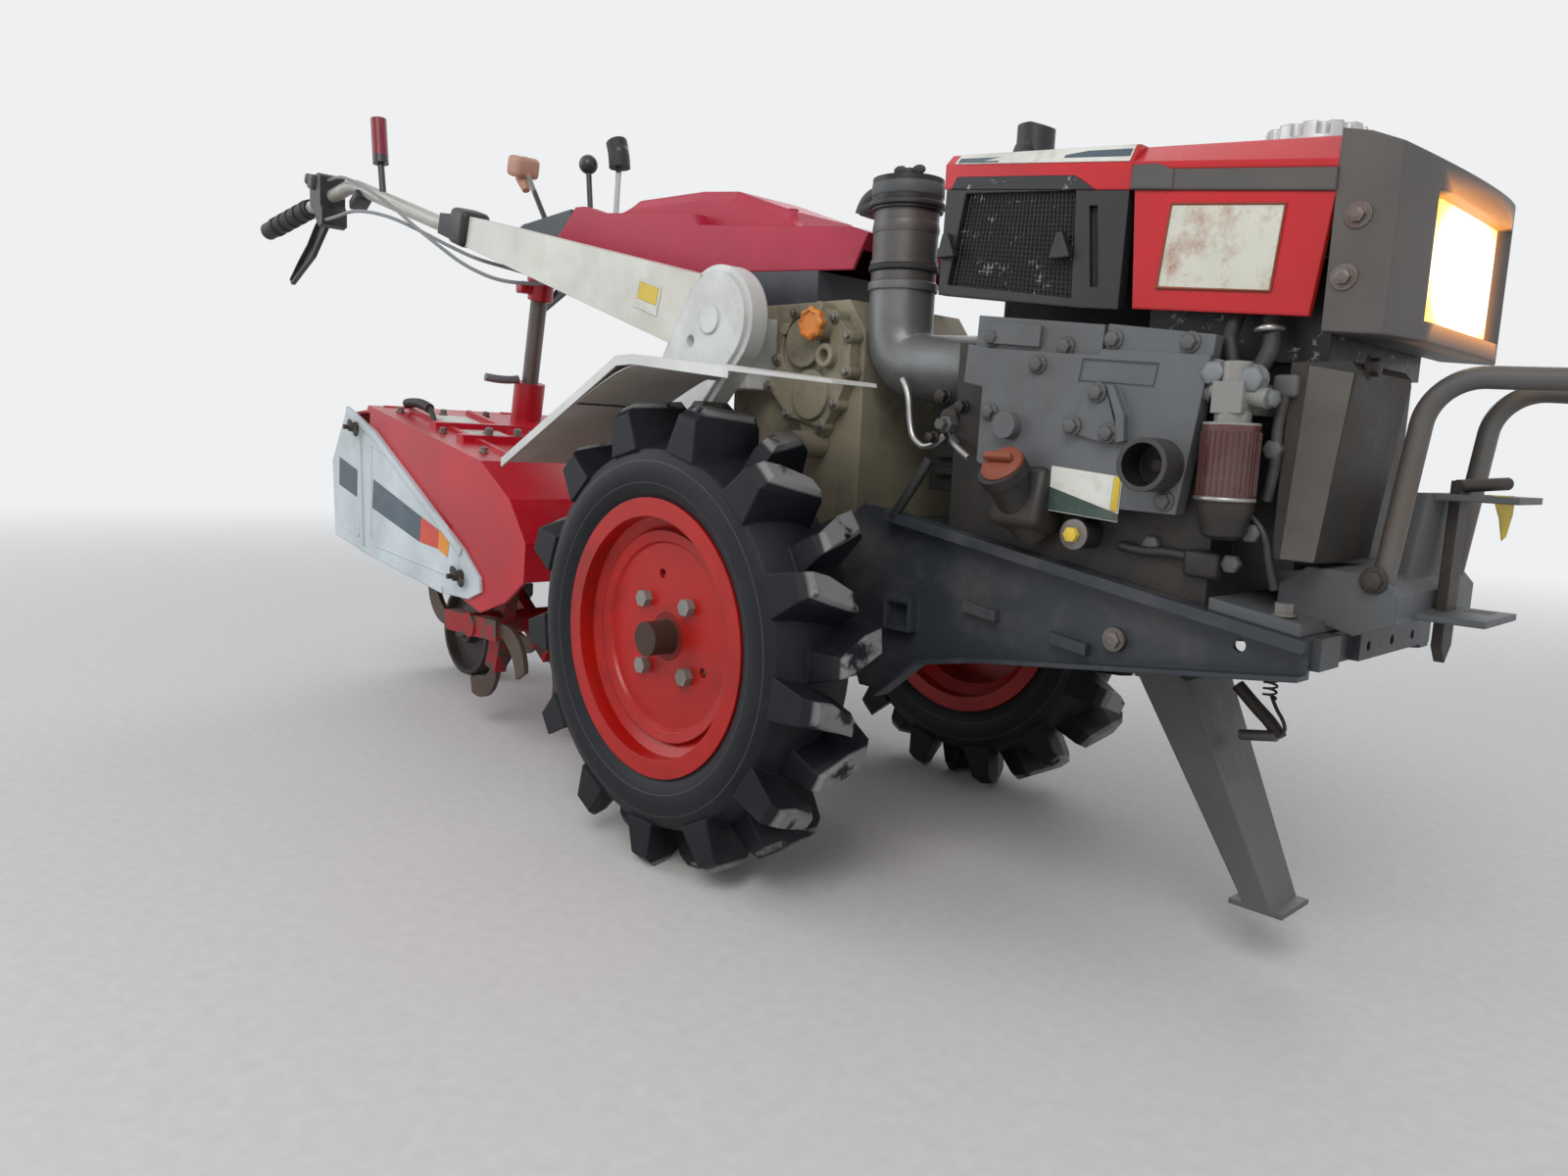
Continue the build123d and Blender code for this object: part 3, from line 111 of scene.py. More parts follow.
def camera_axes(yaw, pitch, roll):
    """Right, down and forward unit vectors of the camera."""
    level = math.cos(pitch)
    ahead = Vector((math.cos(yaw) * level, math.sin(yaw) * level, -math.sin(pitch)))
    right = ahead.cross(Vector(UP)).normalized()
    down = ahead.cross(right)
    c, s = math.cos(roll), math.sin(roll)
    return c * right + s * down, c * down - s * right, ahead


right, down, ahead = camera_axes(YAW, PITCH, ROLL)
camera = add_object("camera", bpy.data.cameras.new("camera"))
turn = Matrix((right, -down, -ahead)).transposed().to_4x4()
camera.matrix_world = Matrix.Translation(at(*EYE)) @ turn
camera.data.sensor_width = SENSOR_WIDTH
camera.data.lens = SENSOR_WIDTH * FOCAL_PIXELS / IMAGE_WIDTH
camera.data.clip_start = 0.05
bpy.context.scene.camera = camera
print("lens", round(camera.data.lens, 2), "mm")

# %% [markdown]
# The studio is a pale floor that fades into a white surround, a soft white sky and three large area
# lamps. The world is white for the camera and for mirror-like reflections, and dimmer as a light.

# %% studio
SKY_LIGHT = 0.50
SURROUND = (0.86, 0.87, 0.88, 1)
LAMP_AIM = Vector((0, 0, 0.5))
LAMPS = (   # name, place, size, watts and colour
    ("key", (2.2, -3.2, 3.4), 2.2, 95, (1.0, 0.97, 0.93)),
    ("fill", (-3.2, -2.6, 2.4), 3.0, 42, (0.9, 0.95, 1.0)),
    ("rear", (-1.5, 3.5, 3.0), 3.0, 45, (0.95, 0.97, 1.0)),
)
scene = bpy.context.scene
scene.view_settings.view_transform = "Standard"
world = bpy.data.worlds.new("studio")
scene.world = world
world.use_nodes = True
sky = world.node_tree
sky.nodes.clear()
rays = add_node(sky, "ShaderNodeLightPath").outputs
seen = add_node(sky, "ShaderNodeMath", operation="MAXIMUM")
seen_more = add_node(sky, "ShaderNodeMath", operation="MAXIMUM")
soft = add_node(sky, "ShaderNodeBackground", {"Color": (0.93, 0.96, 1.0, 1), "Strength": SKY_LIGHT})
shown = add_node(sky, "ShaderNodeBackground", {"Color": SURROUND, "Strength": 1.0})
blend_sky = add_node(sky, "ShaderNodeMixShader")
sky_out = add_node(sky, "ShaderNodeOutputWorld")
link_all(
    sky,
    (rays["Is Camera Ray"], seen.inputs[0]),
    (rays["Is Glossy Ray"], seen.inputs[1]),
    (seen.outputs[0], seen_more.inputs[0]),
    (rays["Is Transmission Ray"], seen_more.inputs[1]),
    (seen_more.outputs[0], blend_sky.inputs["Fac"]),
    (soft.outputs[0], blend_sky.inputs[1]),
    (shown.outputs[0], blend_sky.inputs[2]),
    (blend_sky.outputs[0], sky_out.inputs["Surface"]),
)
for name, place, size, watts, colour in LAMPS:
    lamp = bpy.data.lights.new(name, "AREA")
    lamp.size = size
    lamp.energy = watts
    lamp.color = colour
    holder = add_object(name, lamp)
    holder.location = place
    holder.rotation_euler = (LAMP_AIM - Vector(place)).to_track_quat("-Z", "Y").to_euler()
print("lamps", len(LAMPS))

# %% [markdown]
# The floor is one large disc. Near the machine it is a matt pale ground that takes the shadow, and
# further out its colour passes over into the tone of the surround, so that no horizon line shows.

# %% floor
FLOOR_RADIUS = 40.0
FADE = {"From Min": 1.6, "From Max": 6.0}
ground = bmesh.new()
bmesh.ops.create_circle(ground, cap_ends=True, segments=96, radius=FLOOR_RADIUS)
floor = add_object("floor", mesh_of(ground, "floor"))
pale_ground = bpy.data.materials.new("pale_ground")
pale_ground.use_nodes = True
tree = pale_ground.node_tree
tree.nodes.clear()
spot = add_node(tree, "ShaderNodeTexCoord").outputs["Object"]
far = add_node(tree, "ShaderNodeVectorMath", operation="LENGTH")
fade = add_node(tree, "ShaderNodeMapRange", FADE, interpolation_type="SMOOTHSTEP")
speckle = add_node(tree, "ShaderNodeTexNoise", {"Scale": 60, "Detail": 6})
tone = add_node(tree, "ShaderNodeValToRGB")
tone.color_ramp.elements[0].color = (0.62, 0.61, 0.60, 1)
tone.color_ramp.elements[1].color = (0.74, 0.73, 0.72, 1)
matt = add_node(tree, "ShaderNodeBsdfDiffuse")
glow = add_node(tree, "ShaderNodeEmission", {"Color": SURROUND})
over = add_node(tree, "ShaderNodeMixShader")
floor_out = add_node(tree, "ShaderNodeOutputMaterial")
link_all(
    tree,
    (spot, far.inputs[0]),
    (far.outputs["Value"], fade.inputs["Value"]),
    (spot, speckle.inputs["Vector"]),
    (speckle.outputs["Fac"], tone.inputs["Fac"]),
    (tone.outputs["Color"], matt.inputs["Color"]),
    (fade.outputs["Result"], over.inputs["Fac"]),
    (matt.outputs[0], over.inputs[1]),
    (glow.outputs[0], over.inputs[2]),
    (over.outputs[0], floor_out.inputs["Surface"]),
)
floor.data.materials.append(pale_ground)
print("floor radius", FLOOR_RADIUS, "m")

# %% [markdown]
# Finishes are worked out from the place on the machine. These functions are their vocabulary: a
# noise, a stretched or stepped factor, a mix of two colours, and the distance from some middle.

# %% vocabulary of the finishes
def feed(tree, value, socket):
    """Gives a socket a link, a fixed colour or a fixed number."""
    if isinstance(value, bpy.types.NodeSocket):
        tree.links.new(value, socket)
    else:
        socket.default_value = (*value, 1) if isinstance(value, tuple) else value


def noise(tree, vector, scale, detail=5, rough=0.6):
    """A noise factor over the surface."""
    n = add_node(tree, "ShaderNodeTexNoise", {"Scale": scale, "Detail": detail, "Roughness": rough})
    tree.links.new(vector, n.inputs["Vector"])
    return n.outputs["Fac"]


def steps(tree, factor, low, high, to_low=0.0, to_high=1.0):
    """Stretches a factor between two values and clamps it."""
    span = {"From Min": low, "From Max": high, "To Min": to_low, "To Max": to_high}
    m = add_node(tree, "ShaderNodeMapRange", span)
    tree.links.new(factor, m.inputs["Value"])
    return m.outputs["Result"]


def above(tree, value, level, soft=0.0005):
    """1 over a level and 0 under it, with a short ramp between."""
    return steps(tree, value, level, level + soft)


def below(tree, value, level, soft=0.0005):
    """1 under a level and 0 over it, with a short ramp between."""
    return steps(tree, value, level, level + soft, 1.0, 0.0)


def mixed(tree, factor, first, second):
    """A colour between two; each is a socket or a fixed colour."""
    m = add_node(tree, "ShaderNodeMix", data_type="RGBA")
    for value, socket in ((factor, m.inputs["Factor"]), (first, m.inputs[6]), (second, m.inputs[7])):
        feed(tree, value, socket)
    return m.outputs[2]


def together(tree, first, second, how="MULTIPLY"):
    """Two factors joined by a math node."""
    m = add_node(tree, "ShaderNodeMath", operation=how)
    feed(tree, first, m.inputs[0])
    feed(tree, second, m.inputs[1])
    return m.outputs[0]


def axis_value(tree, spot, axis):
    """One coordinate of the place, as a factor."""
    split = add_node(tree, "ShaderNodeSeparateXYZ")
    tree.links.new(spot, split.inputs[0])
    return split.outputs["XYZ".index(axis)]


def reach_from(tree, spot, middle, stretch=(1, 0, 1)):
    """Distance from a middle with each axis stretched; as it stands, from a line that runs across."""
    off = add_node(tree, "ShaderNodeVectorMath", {1: middle}, operation="SUBTRACT")
    flat = add_node(tree, "ShaderNodeVectorMath", {1: stretch}, operation="MULTIPLY")
    reach = add_node(tree, "ShaderNodeVectorMath", operation="LENGTH")
    for source, target in ((spot, off), (off.outputs[0], flat), (flat.outputs[0], reach)):
        tree.links.new(source, target.inputs[0])
    return reach.outputs["Value"]


print("vocabulary ready")

# %% [markdown]
# Almost every surface of this machine is one of a few kinds: sprayed sheet metal, bare casting,
# moulded plastic, rubber or worn steel. They share one recipe. A broad noise makes the colour
# drift, a second one lays dust or grime in patches, a third, fine one breaks up the gloss and gives
# a slight relief, and a Bevel node softens the light on sharp edges as a worn edge would.

# %% the shared recipe
DUST = (0.34, 0.30, 0.25)
GRIME = (0.018, 0.015, 0.012)
RUST = (0.12, 0.035, 0.012)
DRIFT = 0.16
finishes = {}


def shade(colour, share):
    """A darker or lighter version of a colour."""
    return tuple(min(1.0, c * share) for c in colour)


def surface(name, colour, rough, dirt, dirt_share, dirt_scale=9.0, metal=0.0, grain=260.0, relief=0.12,
            coat=0.0, edge=0.0012, chips_and_glints=0.0, chip_and_glint_colour=RUST, sheen=0.5, extra=None):
    """One finish of the machine, from the shared recipe; extra may repaint parts of it."""
    material = bpy.data.materials.new(name)
    material.use_nodes = True
    tree = material.node_tree
    shader = tree.nodes["Principled BSDF"]
    spot = add_node(tree, "ShaderNodeTexCoord").outputs["Object"]
    broad = steps(tree, noise(tree, spot, 7.0, 4), 0.3, 0.7)
    paint = mixed(tree, broad, shade(colour, 1 - DRIFT), shade(colour, 1 + DRIFT))
    if extra:
        paint = extra(tree, spot, paint)
    patches = steps(tree, noise(tree, spot, dirt_scale, 9, 0.68), 0.48, 0.72, 0.0, dirt_share * 1.6)
    paint = mixed(tree, patches, paint, dirt)
    # flakes: chips of worn paint; on the grille's black wire they are painted glints
    if chips_and_glints:
        flakes_and_glints = steps(tree, noise(tree, spot, 46.0, 8, 0.75), 0.72 - chips_and_glints, 0.75 - chips_and_glints)
        paint = mixed(tree, flakes_and_glints, paint, chip_and_glint_colour)
    fine = noise(tree, spot, grain, 3, 0.5)
    rough_drift = steps(tree, fine, 0.2, 0.8, rough - 0.06, rough + 0.08)
    gloss = together(tree, rough_drift, together(tree, patches, 0.3), "ADD")
    worn = add_node(tree, "ShaderNodeBevel", {"Radius": edge}, samples=4)
    bump = add_node(tree, "ShaderNodeBump", {"Strength": relief, "Distance": 0.0006})
    link_all(
        tree,
        (paint, shader.inputs["Base Color"]),
        (gloss, shader.inputs["Roughness"]),
        (fine, bump.inputs["Height"]),
        (worn.outputs[0], bump.inputs["Normal"]),
        (bump.outputs[0], shader.inputs["Normal"]),
    )
    for key, value in (("Metallic", metal), ("Specular IOR Level", sheen), ("Coat Weight", coat),
                       ("Coat Roughness", 0.18)):
        shader.inputs[key].default_value = value
    finishes[name] = material
    return material


print("dust", DUST, "rust", RUST)

# %% [markdown]
# Rubber first. The carcass is a blue-black with a few fine rings moulded on its side; the faces of
# the lugs that meet the ground are rubbed grey and dusty. How far a point lies from the axle tells
# which it is.

# %% tyre rubber
SIDE_RINGS = (0.166, 0.1715, 0.188, 0.214)      # radii in metres
RING_WIDTH, RING_SOFT = 0.0014, 0.0004
TIP_RADIUS, TIP_SOFT = 0.2805, 0.0030


def worn_lugs(tree, spot, paint):
    """Draws the side rings and greys the rubber near the lugs' tips."""
    reach = reach_from(tree, spot, at(0, 0, AXLE_HEIGHT))
    blotches = steps(tree, noise(tree, spot, 22.0, 8), 0.40, 0.47)
    for ring in SIDE_RINGS:
        inner = above(tree, reach, ring, RING_SOFT)
        line = together(tree, inner, below(tree, reach, ring + RING_WIDTH, RING_SOFT))
        paint = mixed(tree, line, paint, (0.045, 0.047, 0.052))
    rubbed = together(tree, above(tree, reach, TIP_RADIUS, TIP_SOFT), blotches)
    return mixed(tree, rubbed, paint, (0.21, 0.215, 0.215))


surface("tyre_rubber", (0.006, 0.0075, 0.011), 0.5, (0.028, 0.029, 0.032), 0.25, sheen=0.28, grain=400,
        relief=0.3, edge=0.004, extra=worn_lugs)
surface("grip_rubber", (0.014, 0.015, 0.017), 0.6, DUST, 0.12, grain=500, relief=0.3)
print(len(finishes), "finishes")

# %% [markdown]
# Enamel, bare castings and steel follow. Each has its colour, its roughness, and the colour and the
# share of its dirt. The numbers are scene-linear colours read from clean, evenly lit areas, and each
# gets the wear that the real surface shows.

# %% paints
surface("rim_red", (0.43, 0.008, 0.005), 0.32, (0.12, 0.015, 0.008), 0.4, sheen=0.35, coat=0.1,
        edge=0.002, chips_and_glints=0.03)
surface("hood_red", (0.50, 0.007, 0.013), 0.30, (0.36, 0.03, 0.03), 0.14, sheen=0.35, coat=0.35, edge=0.004)
surface("tiller_red", (0.47, 0.005, 0.018), 0.30, (0.30, 0.05, 0.05), 0.24, sheen=0.32, coat=0.2,
        edge=0.002, chips_and_glints=0.015)
surface("crimson_plastic", (0.40, 0.012, 0.045), 0.42, (0.36, 0.08, 0.10), 0.2, sheen=0.35, edge=0.004)
surface("white_paint", (0.62, 0.62, 0.57), 0.36, (0.34, 0.28, 0.20), 0.16, coat=0.15, edge=0.002, chips_and_glints=0.02)
surface("white_cast", (0.62, 0.64, 0.63), 0.4, (0.22, 0.18, 0.13), 0.20, edge=0.004, chips_and_glints=0.02)
surface("plate_white", (0.56, 0.63, 0.66), 0.38, (0.32, 0.30, 0.27), 0.16, edge=0.003)
surface("frame_paint", (0.030, 0.036, 0.046), 0.42, (0.13, 0.12, 0.11), 0.32, edge=0.002, chips_and_glints=0.04,
        chip_and_glint_colour=(0.10, 0.09, 0.085))
surface("stripe_blue", (0.055, 0.085, 0.115), 0.4, (0.35, 0.38, 0.40), 0.2)
surface("stripe_red", (0.62, 0.055, 0.03), 0.4, DUST, 0.12)
surface("stripe_orange", (0.75, 0.27, 0.02), 0.4, DUST, 0.12)
surface("label_white", (0.66, 0.67, 0.62), 0.4, (0.16, 0.08, 0.04), 0.22, 30)
surface("label_yellow", (0.68, 0.50, 0.05), 0.4, (0.20, 0.12, 0.05), 0.2, 30)
surface("label_rusty", (0.60, 0.60, 0.52), 0.4, (0.30, 0.09, 0.03), 0.45, 42)
surface("label_green", (0.03, 0.06, 0.05), 0.4, DUST, 0.15)
print(len(finishes), "finishes")

# %% [markdown]
# Castings and steels have a share of metal in place of a clear coat, and more grime.

# %% castings and steels
surface("engine_grey", (0.115, 0.122, 0.130), 0.45, (0.055, 0.045, 0.035), 0.22, metal=0.15, edge=0.002)
surface("engine_dark", (0.018, 0.016, 0.015), 0.5, (0.07, 0.045, 0.03), 0.4, edge=0.002)
surface("case_olive", (0.26, 0.235, 0.165), 0.6, GRIME, 0.34, 12, metal=0.1, relief=0.4, edge=0.004)
surface("dark_cast", (0.022, 0.021, 0.020), 0.6, (0.09, 0.07, 0.05), 0.3, relief=0.3)
surface("bracket_grey", (0.085, 0.092, 0.10), 0.5, (0.10, 0.07, 0.05), 0.35, edge=0.003, chips_and_glints=0.03)
surface("bare_panel", (0.098, 0.088, 0.078), 0.5, (0.07, 0.05, 0.04), 0.35)
surface("hoop_steel", (0.11, 0.105, 0.10), 0.42, (0.12, 0.07, 0.04), 0.3, metal=0.2)
surface("stand_grey", (0.098, 0.10, 0.10), 0.5, (0.05, 0.035, 0.025), 0.25, edge=0.003)
surface("tube_beige", (0.42, 0.41, 0.37), 0.35, (0.20, 0.16, 0.12), 0.16, metal=0.25)
surface("column_steel", (0.14, 0.125, 0.115), 0.35, (0.06, 0.04, 0.03), 0.4, metal=0.3)
surface("tail_brown", (0.040, 0.032, 0.028), 0.55, (0.12, 0.09, 0.07), 0.35, metal=0.2, edge=0.003)
surface("cleaner_bowl", (0.105, 0.098, 0.094), 0.38, (0.05, 0.04, 0.035), 0.25, metal=0.3)
surface("elbow_grey", (0.17, 0.175, 0.178), 0.36, (0.05, 0.048, 0.045), 0.3, metal=0.35)
surface("pale_casting", (0.20, 0.215, 0.225), 0.5, (0.09, 0.085, 0.08), 0.25, metal=0.15, edge=0.005)
surface("bright_steel", (0.46, 0.46, 0.45), 0.3, (0.15, 0.10, 0.07), 0.25, metal=0.85)
surface("bolt_steel", (0.20, 0.19, 0.18), 0.42, RUST, 0.4, metal=0.7)
surface("cap_silver", (0.50, 0.51, 0.52), 0.34, (0.20, 0.18, 0.16), 0.2, metal=0.6, edge=0.003)
surface("cable_grey", (0.20, 0.21, 0.22), 0.5, DUST, 0.12)
# the bright flakes on the black wire are painted glints, specks of painted highlight
surface("mesh_wire", (0.014, 0.014, 0.016), 0.4, (0.03, 0.03, 0.03), 0.3, chips_and_glints=0.13,
        chip_and_glint_colour=(0.30, 0.30, 0.31))
print(len(finishes), "finishes")

# %% [markdown]
# Moulded plastics have wide, soft edges and little dirt. The caps' colour has weathered.

# %% plastics and caps
surface("black_mould", (0.016, 0.016, 0.018), 0.45, (0.12, 0.11, 0.10), 0.18, edge=0.003)
surface("grey_mould", (0.080, 0.074, 0.072), 0.5, (0.16, 0.13, 0.11), 0.2, edge=0.004)
surface("console_grey", (0.060, 0.066, 0.072), 0.5, DUST, 0.12, edge=0.004)
# a plain black for the block that stands in for the shade under the hood and the dark parts in it
surface("shade_and_parts_black", (0.010, 0.010, 0.011), 0.6, DUST, 0.05, sheen=0.2)
surface("orange_cap", (0.62, 0.20, 0.03), 0.5, (0.20, 0.10, 0.05), 0.3)
surface("rust_cap", (0.26, 0.062, 0.028), 0.6, (0.20, 0.07, 0.04), 0.4)
surface("filter_brown", (0.060, 0.012, 0.010), 0.3, DUST, 0.12, coat=0.3)
surface("salmon_block", (0.52, 0.26, 0.18), 0.45, DUST, 0.2)
print(len(finishes), "finishes")

# %% [markdown]
# Several CAD solids carry more than one finish. The levers have coloured knobs on bright rods, the
# wheel bolts are zinc on a rusty shaft, the fenders keep mud and painted shade below, and the air
# cleaner's cap is black above its painted bowl. The same recipe takes a repaint that depends on
# the place.

# %% finishes that change along a piece
CRANK_AXIS = at(548, 0, 527)
REEL_AXIS = at(-600, 0, 205)


def knob_colours(tree, spot, paint):
    """Salmon, black and grey knobs above steel rods."""
    x = axis_value(tree, spot, "X")
    rear = below(tree, x, -0.60)
    rod = below(tree, axis_value(tree, spot, "Z"), 0.9995)
    paint = mixed(tree, rear, paint, (0.50, 0.15, 0.12))
    paint = mixed(tree, together(tree, rod, rear), paint, (0.20, 0.19, 0.18))
    return mixed(tree, together(tree, rod, above(tree, x, -0.47)), paint, (0.55, 0.56, 0.57))


def grip_and_rod(tree, spot, paint):
    """Red grip above a steel rod."""
    return mixed(tree, below(tree, axis_value(tree, spot, "Z"), 1.018), paint, (0.035, 0.028, 0.03))


def bolt_circle(tree, spot, paint):
    """Zinc on the wheel bolts and red on the hub's collar; the shaft in the middle stays rusty."""
    reach = reach_from(tree, spot, at(0, 0, AXLE_HEIGHT))
    paint = mixed(tree, above(tree, reach, 0.0222, 0.0004), paint, (0.25, 0.012, 0.008))
    return mixed(tree, above(tree, reach, 0.044, 0.001), paint, (0.27, 0.26, 0.24))


def mud_and_shade_below(tree, spot, paint):
    """Faces that look down are darker and beige: a film of dried mud, and painted shade."""
    facing = add_node(tree, "ShaderNodeNewGeometry").outputs["True Normal"]
    down = steps(tree, axis_value(tree, facing, "Z"), -0.3, -0.1, 1.0, 0.0)
    film = steps(tree, noise(tree, spot, 11.0, 7), 0.2, 0.55, 0.55, 1.0)
    # painted shade and mud on the faces that look down
    return mixed(tree, together(tree, down, film), paint, (0.36, 0.325, 0.28))


def crank_tube(tree, spot, paint):
    """The tube for the starting crank is bare dark metal; its inside is painted black as shade."""
    reach = reach_from(tree, spot, CRANK_AXIS)
    outside = below(tree, axis_value(tree, spot, "Y"), -0.1845)
    tube = together(tree, outside, below(tree, reach, 0.0262, 0.0004))
    paint = mixed(tree, tube, paint, (0.045, 0.044, 0.045))
    # painted shade: the bore of the tube is black
    return mixed(tree, below(tree, reach, 0.0202, 0.0004), paint, (0.008, 0.008, 0.008))


def cleaner_colours(tree, spot, paint):
    """Black moulded cap above the painted bowl."""
    return mixed(tree, above(tree, axis_value(tree, spot, "Z"), 0.8165), paint, (0.018, 0.018, 0.020))


def cock_colours(tree, spot, paint):
    """Pale cast cock above the red-brown bowl, and a dark foot below it."""
    z = axis_value(tree, spot, "Z")
    paint = mixed(tree, above(tree, z, 0.5655), paint, (0.24, 0.235, 0.225))
    return mixed(tree, below(tree, z, 0.4995), paint, (0.03, 0.022, 0.02))


def holder_colours(tree, spot, paint):
    """Red paint, half worn off, on the reel's holders; bare brown tines beyond."""
    painted = below(tree, reach_from(tree, spot, REEL_AXIS), 0.090, 0.002)
    worn = steps(tree, noise(tree, spot, 34.0, 6), 0.42, 0.5)
    return mixed(tree, together(tree, painted, worn), paint, (0.36, 0.010, 0.018))


surface("fender_white", (0.62, 0.63, 0.62), 0.34, (0.34, 0.30, 0.24), 0.14, extra=mud_and_shade_below)
surface("axle_end", (0.060, 0.032, 0.022), 0.55, (0.05, 0.03, 0.02), 0.3, metal=0.3, extra=bolt_circle)
surface("cover_grey", (0.115, 0.122, 0.130), 0.42, (0.07, 0.06, 0.05), 0.26, edge=0.002, chips_and_glints=0.015,
        extra=crank_tube)
surface("cleaner_body", (0.105, 0.098, 0.094), 0.38, (0.05, 0.04, 0.035), 0.25, metal=0.3,
        extra=cleaner_colours)
surface("cock_and_bowl", (0.075, 0.012, 0.012), 0.25, DUST, 0.12, coat=0.3, extra=cock_colours)
surface("reel", (0.085, 0.060, 0.046), 0.5, (0.17, 0.12, 0.08), 0.35, metal=0.4, extra=holder_colours)
surface("knobs", (0.020, 0.020, 0.022), 0.35, DUST, 0.1, extra=knob_colours)
surface("red_grip", (0.21, 0.010, 0.026), 0.35, DUST, 0.1, extra=grip_and_rod)
print(len(finishes), "finishes")

# %% [markdown]
# The lamp is lit. Its glass is white in the middle and orange towards its rim, and the lamp's light on
# the pocket around it is painted: the pocket glows orange close to the glass and fades away from it.

# %% lit lamp
GLASS_MIDDLE = at(730, 4, 712)
GLASS_STRETCH = (0, 9.6, 14.5)      # puts the glass's rim about 1 away from its middle
POCKET_MIDDLE, POCKET_HALF_WIDE, POCKET_HALF_TALL = 0.713, 0.084, 0.051     # the opening, in metres
lit = bpy.data.materials.new("lit_glass")
lit.use_nodes = True
tree = lit.node_tree
glass = tree.nodes["Principled BSDF"]
spot = add_node(tree, "ShaderNodeTexCoord").outputs["Object"]
ramp = add_node(tree, "ShaderNodeValToRGB")
ramp.color_ramp.elements[0].position = 0.80
ramp.color_ramp.elements[0].color = (1.0, 0.93, 0.70, 1)
ramp.color_ramp.elements[1].position = 1.0
ramp.color_ramp.elements[1].color = (1.0, 0.50, 0.10, 1)
link_all(
    tree,
    (reach_from(tree, spot, GLASS_MIDDLE, GLASS_STRETCH), ramp.inputs["Fac"]),
    (ramp.outputs["Color"], glass.inputs["Emission Color"]),
)
glass.inputs["Emission Strength"].default_value = 1.6
glass.inputs["Base Color"].default_value = (0.8, 0.6, 0.3, 1)
glass.inputs["Roughness"].default_value = 0.15
finishes["lit_glass"] = lit

tree = surface("lamp_pocket", (0.085, 0.078, 0.076), 0.5, (0.16, 0.13, 0.11), 0.18, edge=0.003).node_tree
pocket = tree.nodes["Principled BSDF"]
spot = add_node(tree, "ShaderNodeTexCoord").outputs["Object"]
off_middle = together(tree, axis_value(tree, spot, "Z"), POCKET_MIDDLE, "SUBTRACT")
beside, beyond = (
    together(tree, together(tree, off, 0.0, "ABSOLUTE"), half, "SUBTRACT")
    for off, half in ((axis_value(tree, spot, "Y"), POCKET_HALF_WIDE), (off_middle, POCKET_HALF_TALL)))
# painted light: the lamp's orange glow on the pocket's walls, strongest beside the glass
gleam = steps(tree, together(tree, beside, beyond, "MAXIMUM"), 0.003, 0.024, 1.0, 0.0)
gleam = together(tree, gleam, steps(tree, axis_value(tree, spot, "X"), 0.930, 0.936))
gleam = together(tree, together(tree, gleam, gleam), 0.8)
tree.links.new(gleam, pocket.inputs["Emission Strength"])
pocket.inputs["Emission Color"].default_value = (1.0, 0.36, 0.06, 1)
print(len(finishes), "finishes")

# %% [markdown]
# Now each CAD node gets its finish. A table from finish to nodes is easier to read than one line
# for each, and a last test makes sure that none was forgotten.

# %% dress the nodes
dress = {
    "tyre_rubber": ("tyre_right", "tyre_left"),
    "rim_red": ("rim_right", "rim_left"),
    "axle_end": ("axle_right", "axle_left"),
    "case_olive": ("gear_case", "case_cover"),
    "dark_cast": ("case_mount", "tiller_case"),
    "white_cast": ("drive_casing", "handle_bracket"),
    "frame_paint": ("frame_rails", "frame_front", "stand_hinge", "handle_frame"),
    "engine_dark": ("engine_block", "oil_filler"),
    "cover_grey": ("engine_cover",),
    "elbow_grey": ("intake_elbow",),
    "cable_grey": ("clutch_cable", "throttle_cable"),
    "cock_and_bowl": ("fuel_filter",),
    "white_paint": ("belt_cover", "handle_beams"),
    "fender_white": ("fenders",),
    "plate_white": ("side_plates",),
    "black_mould": ("grille", "fan_cowl", "clutch_levers", "lever_brackets", "beam_ends", "muffler"),
    "mesh_wire": ("radiator", "condenser"),
    "hood_red": ("hood_rear", "hood_front", "side_panels"),
    "grey_mould": ("hood_trim",),
    "lamp_pocket": ("lamp_housing",),
    "lit_glass": ("lamp_glass",),
    "cap_silver": ("radiator_cap",),
    "cleaner_body": ("air_cleaner",),
    "crimson_plastic": ("top_cover",),
    "console_grey": ("console",),
    "knobs": ("shift_levers",),
    "red_grip": ("red_lever",),
    "tube_beige": ("handle_tubes",),
    "column_steel": ("tail_column",),
    "grip_rubber": ("grips",),
    "bracket_grey": ("front_bracket",),
    "hoop_steel": ("hoop",),
    "tail_brown": ("hitch_pin", "tail_fork", "tail_wheel"),
    "stand_grey": ("stand",),
    "tiller_red": ("tiller_cover", "rear_cover"),
    "reel": ("rotor",),
}
for finish, members in dress.items():
    for node in members:
        mesh = nodes[node].data
        mesh.materials.clear()
        mesh.materials.append(finishes[finish])
print("not dressed:", sorted(set(nodes) - {node for members in dress.values() for node in members}))

# %% [markdown]
# The small pieces need a few helpers. `keep` puts a finished mesh into the scene, gives it its
# finish, and makes it ride on its body. The others shape plates, hoses, turned pieces, small castings
# and bent sheets.

# %% keep, plates and hoses
def keep(name, mesh, finish, body="machine", smooth=False):
    """Puts a finished mesh into the scene on its body."""
    piece = add_object(name, mesh)
    mesh.materials.clear()
    mesh.materials.append(finishes[finish])
    for face in mesh.polygons:
        face.material_index = 0
        face.use_smooth = smooth
    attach(piece, body)
    return piece


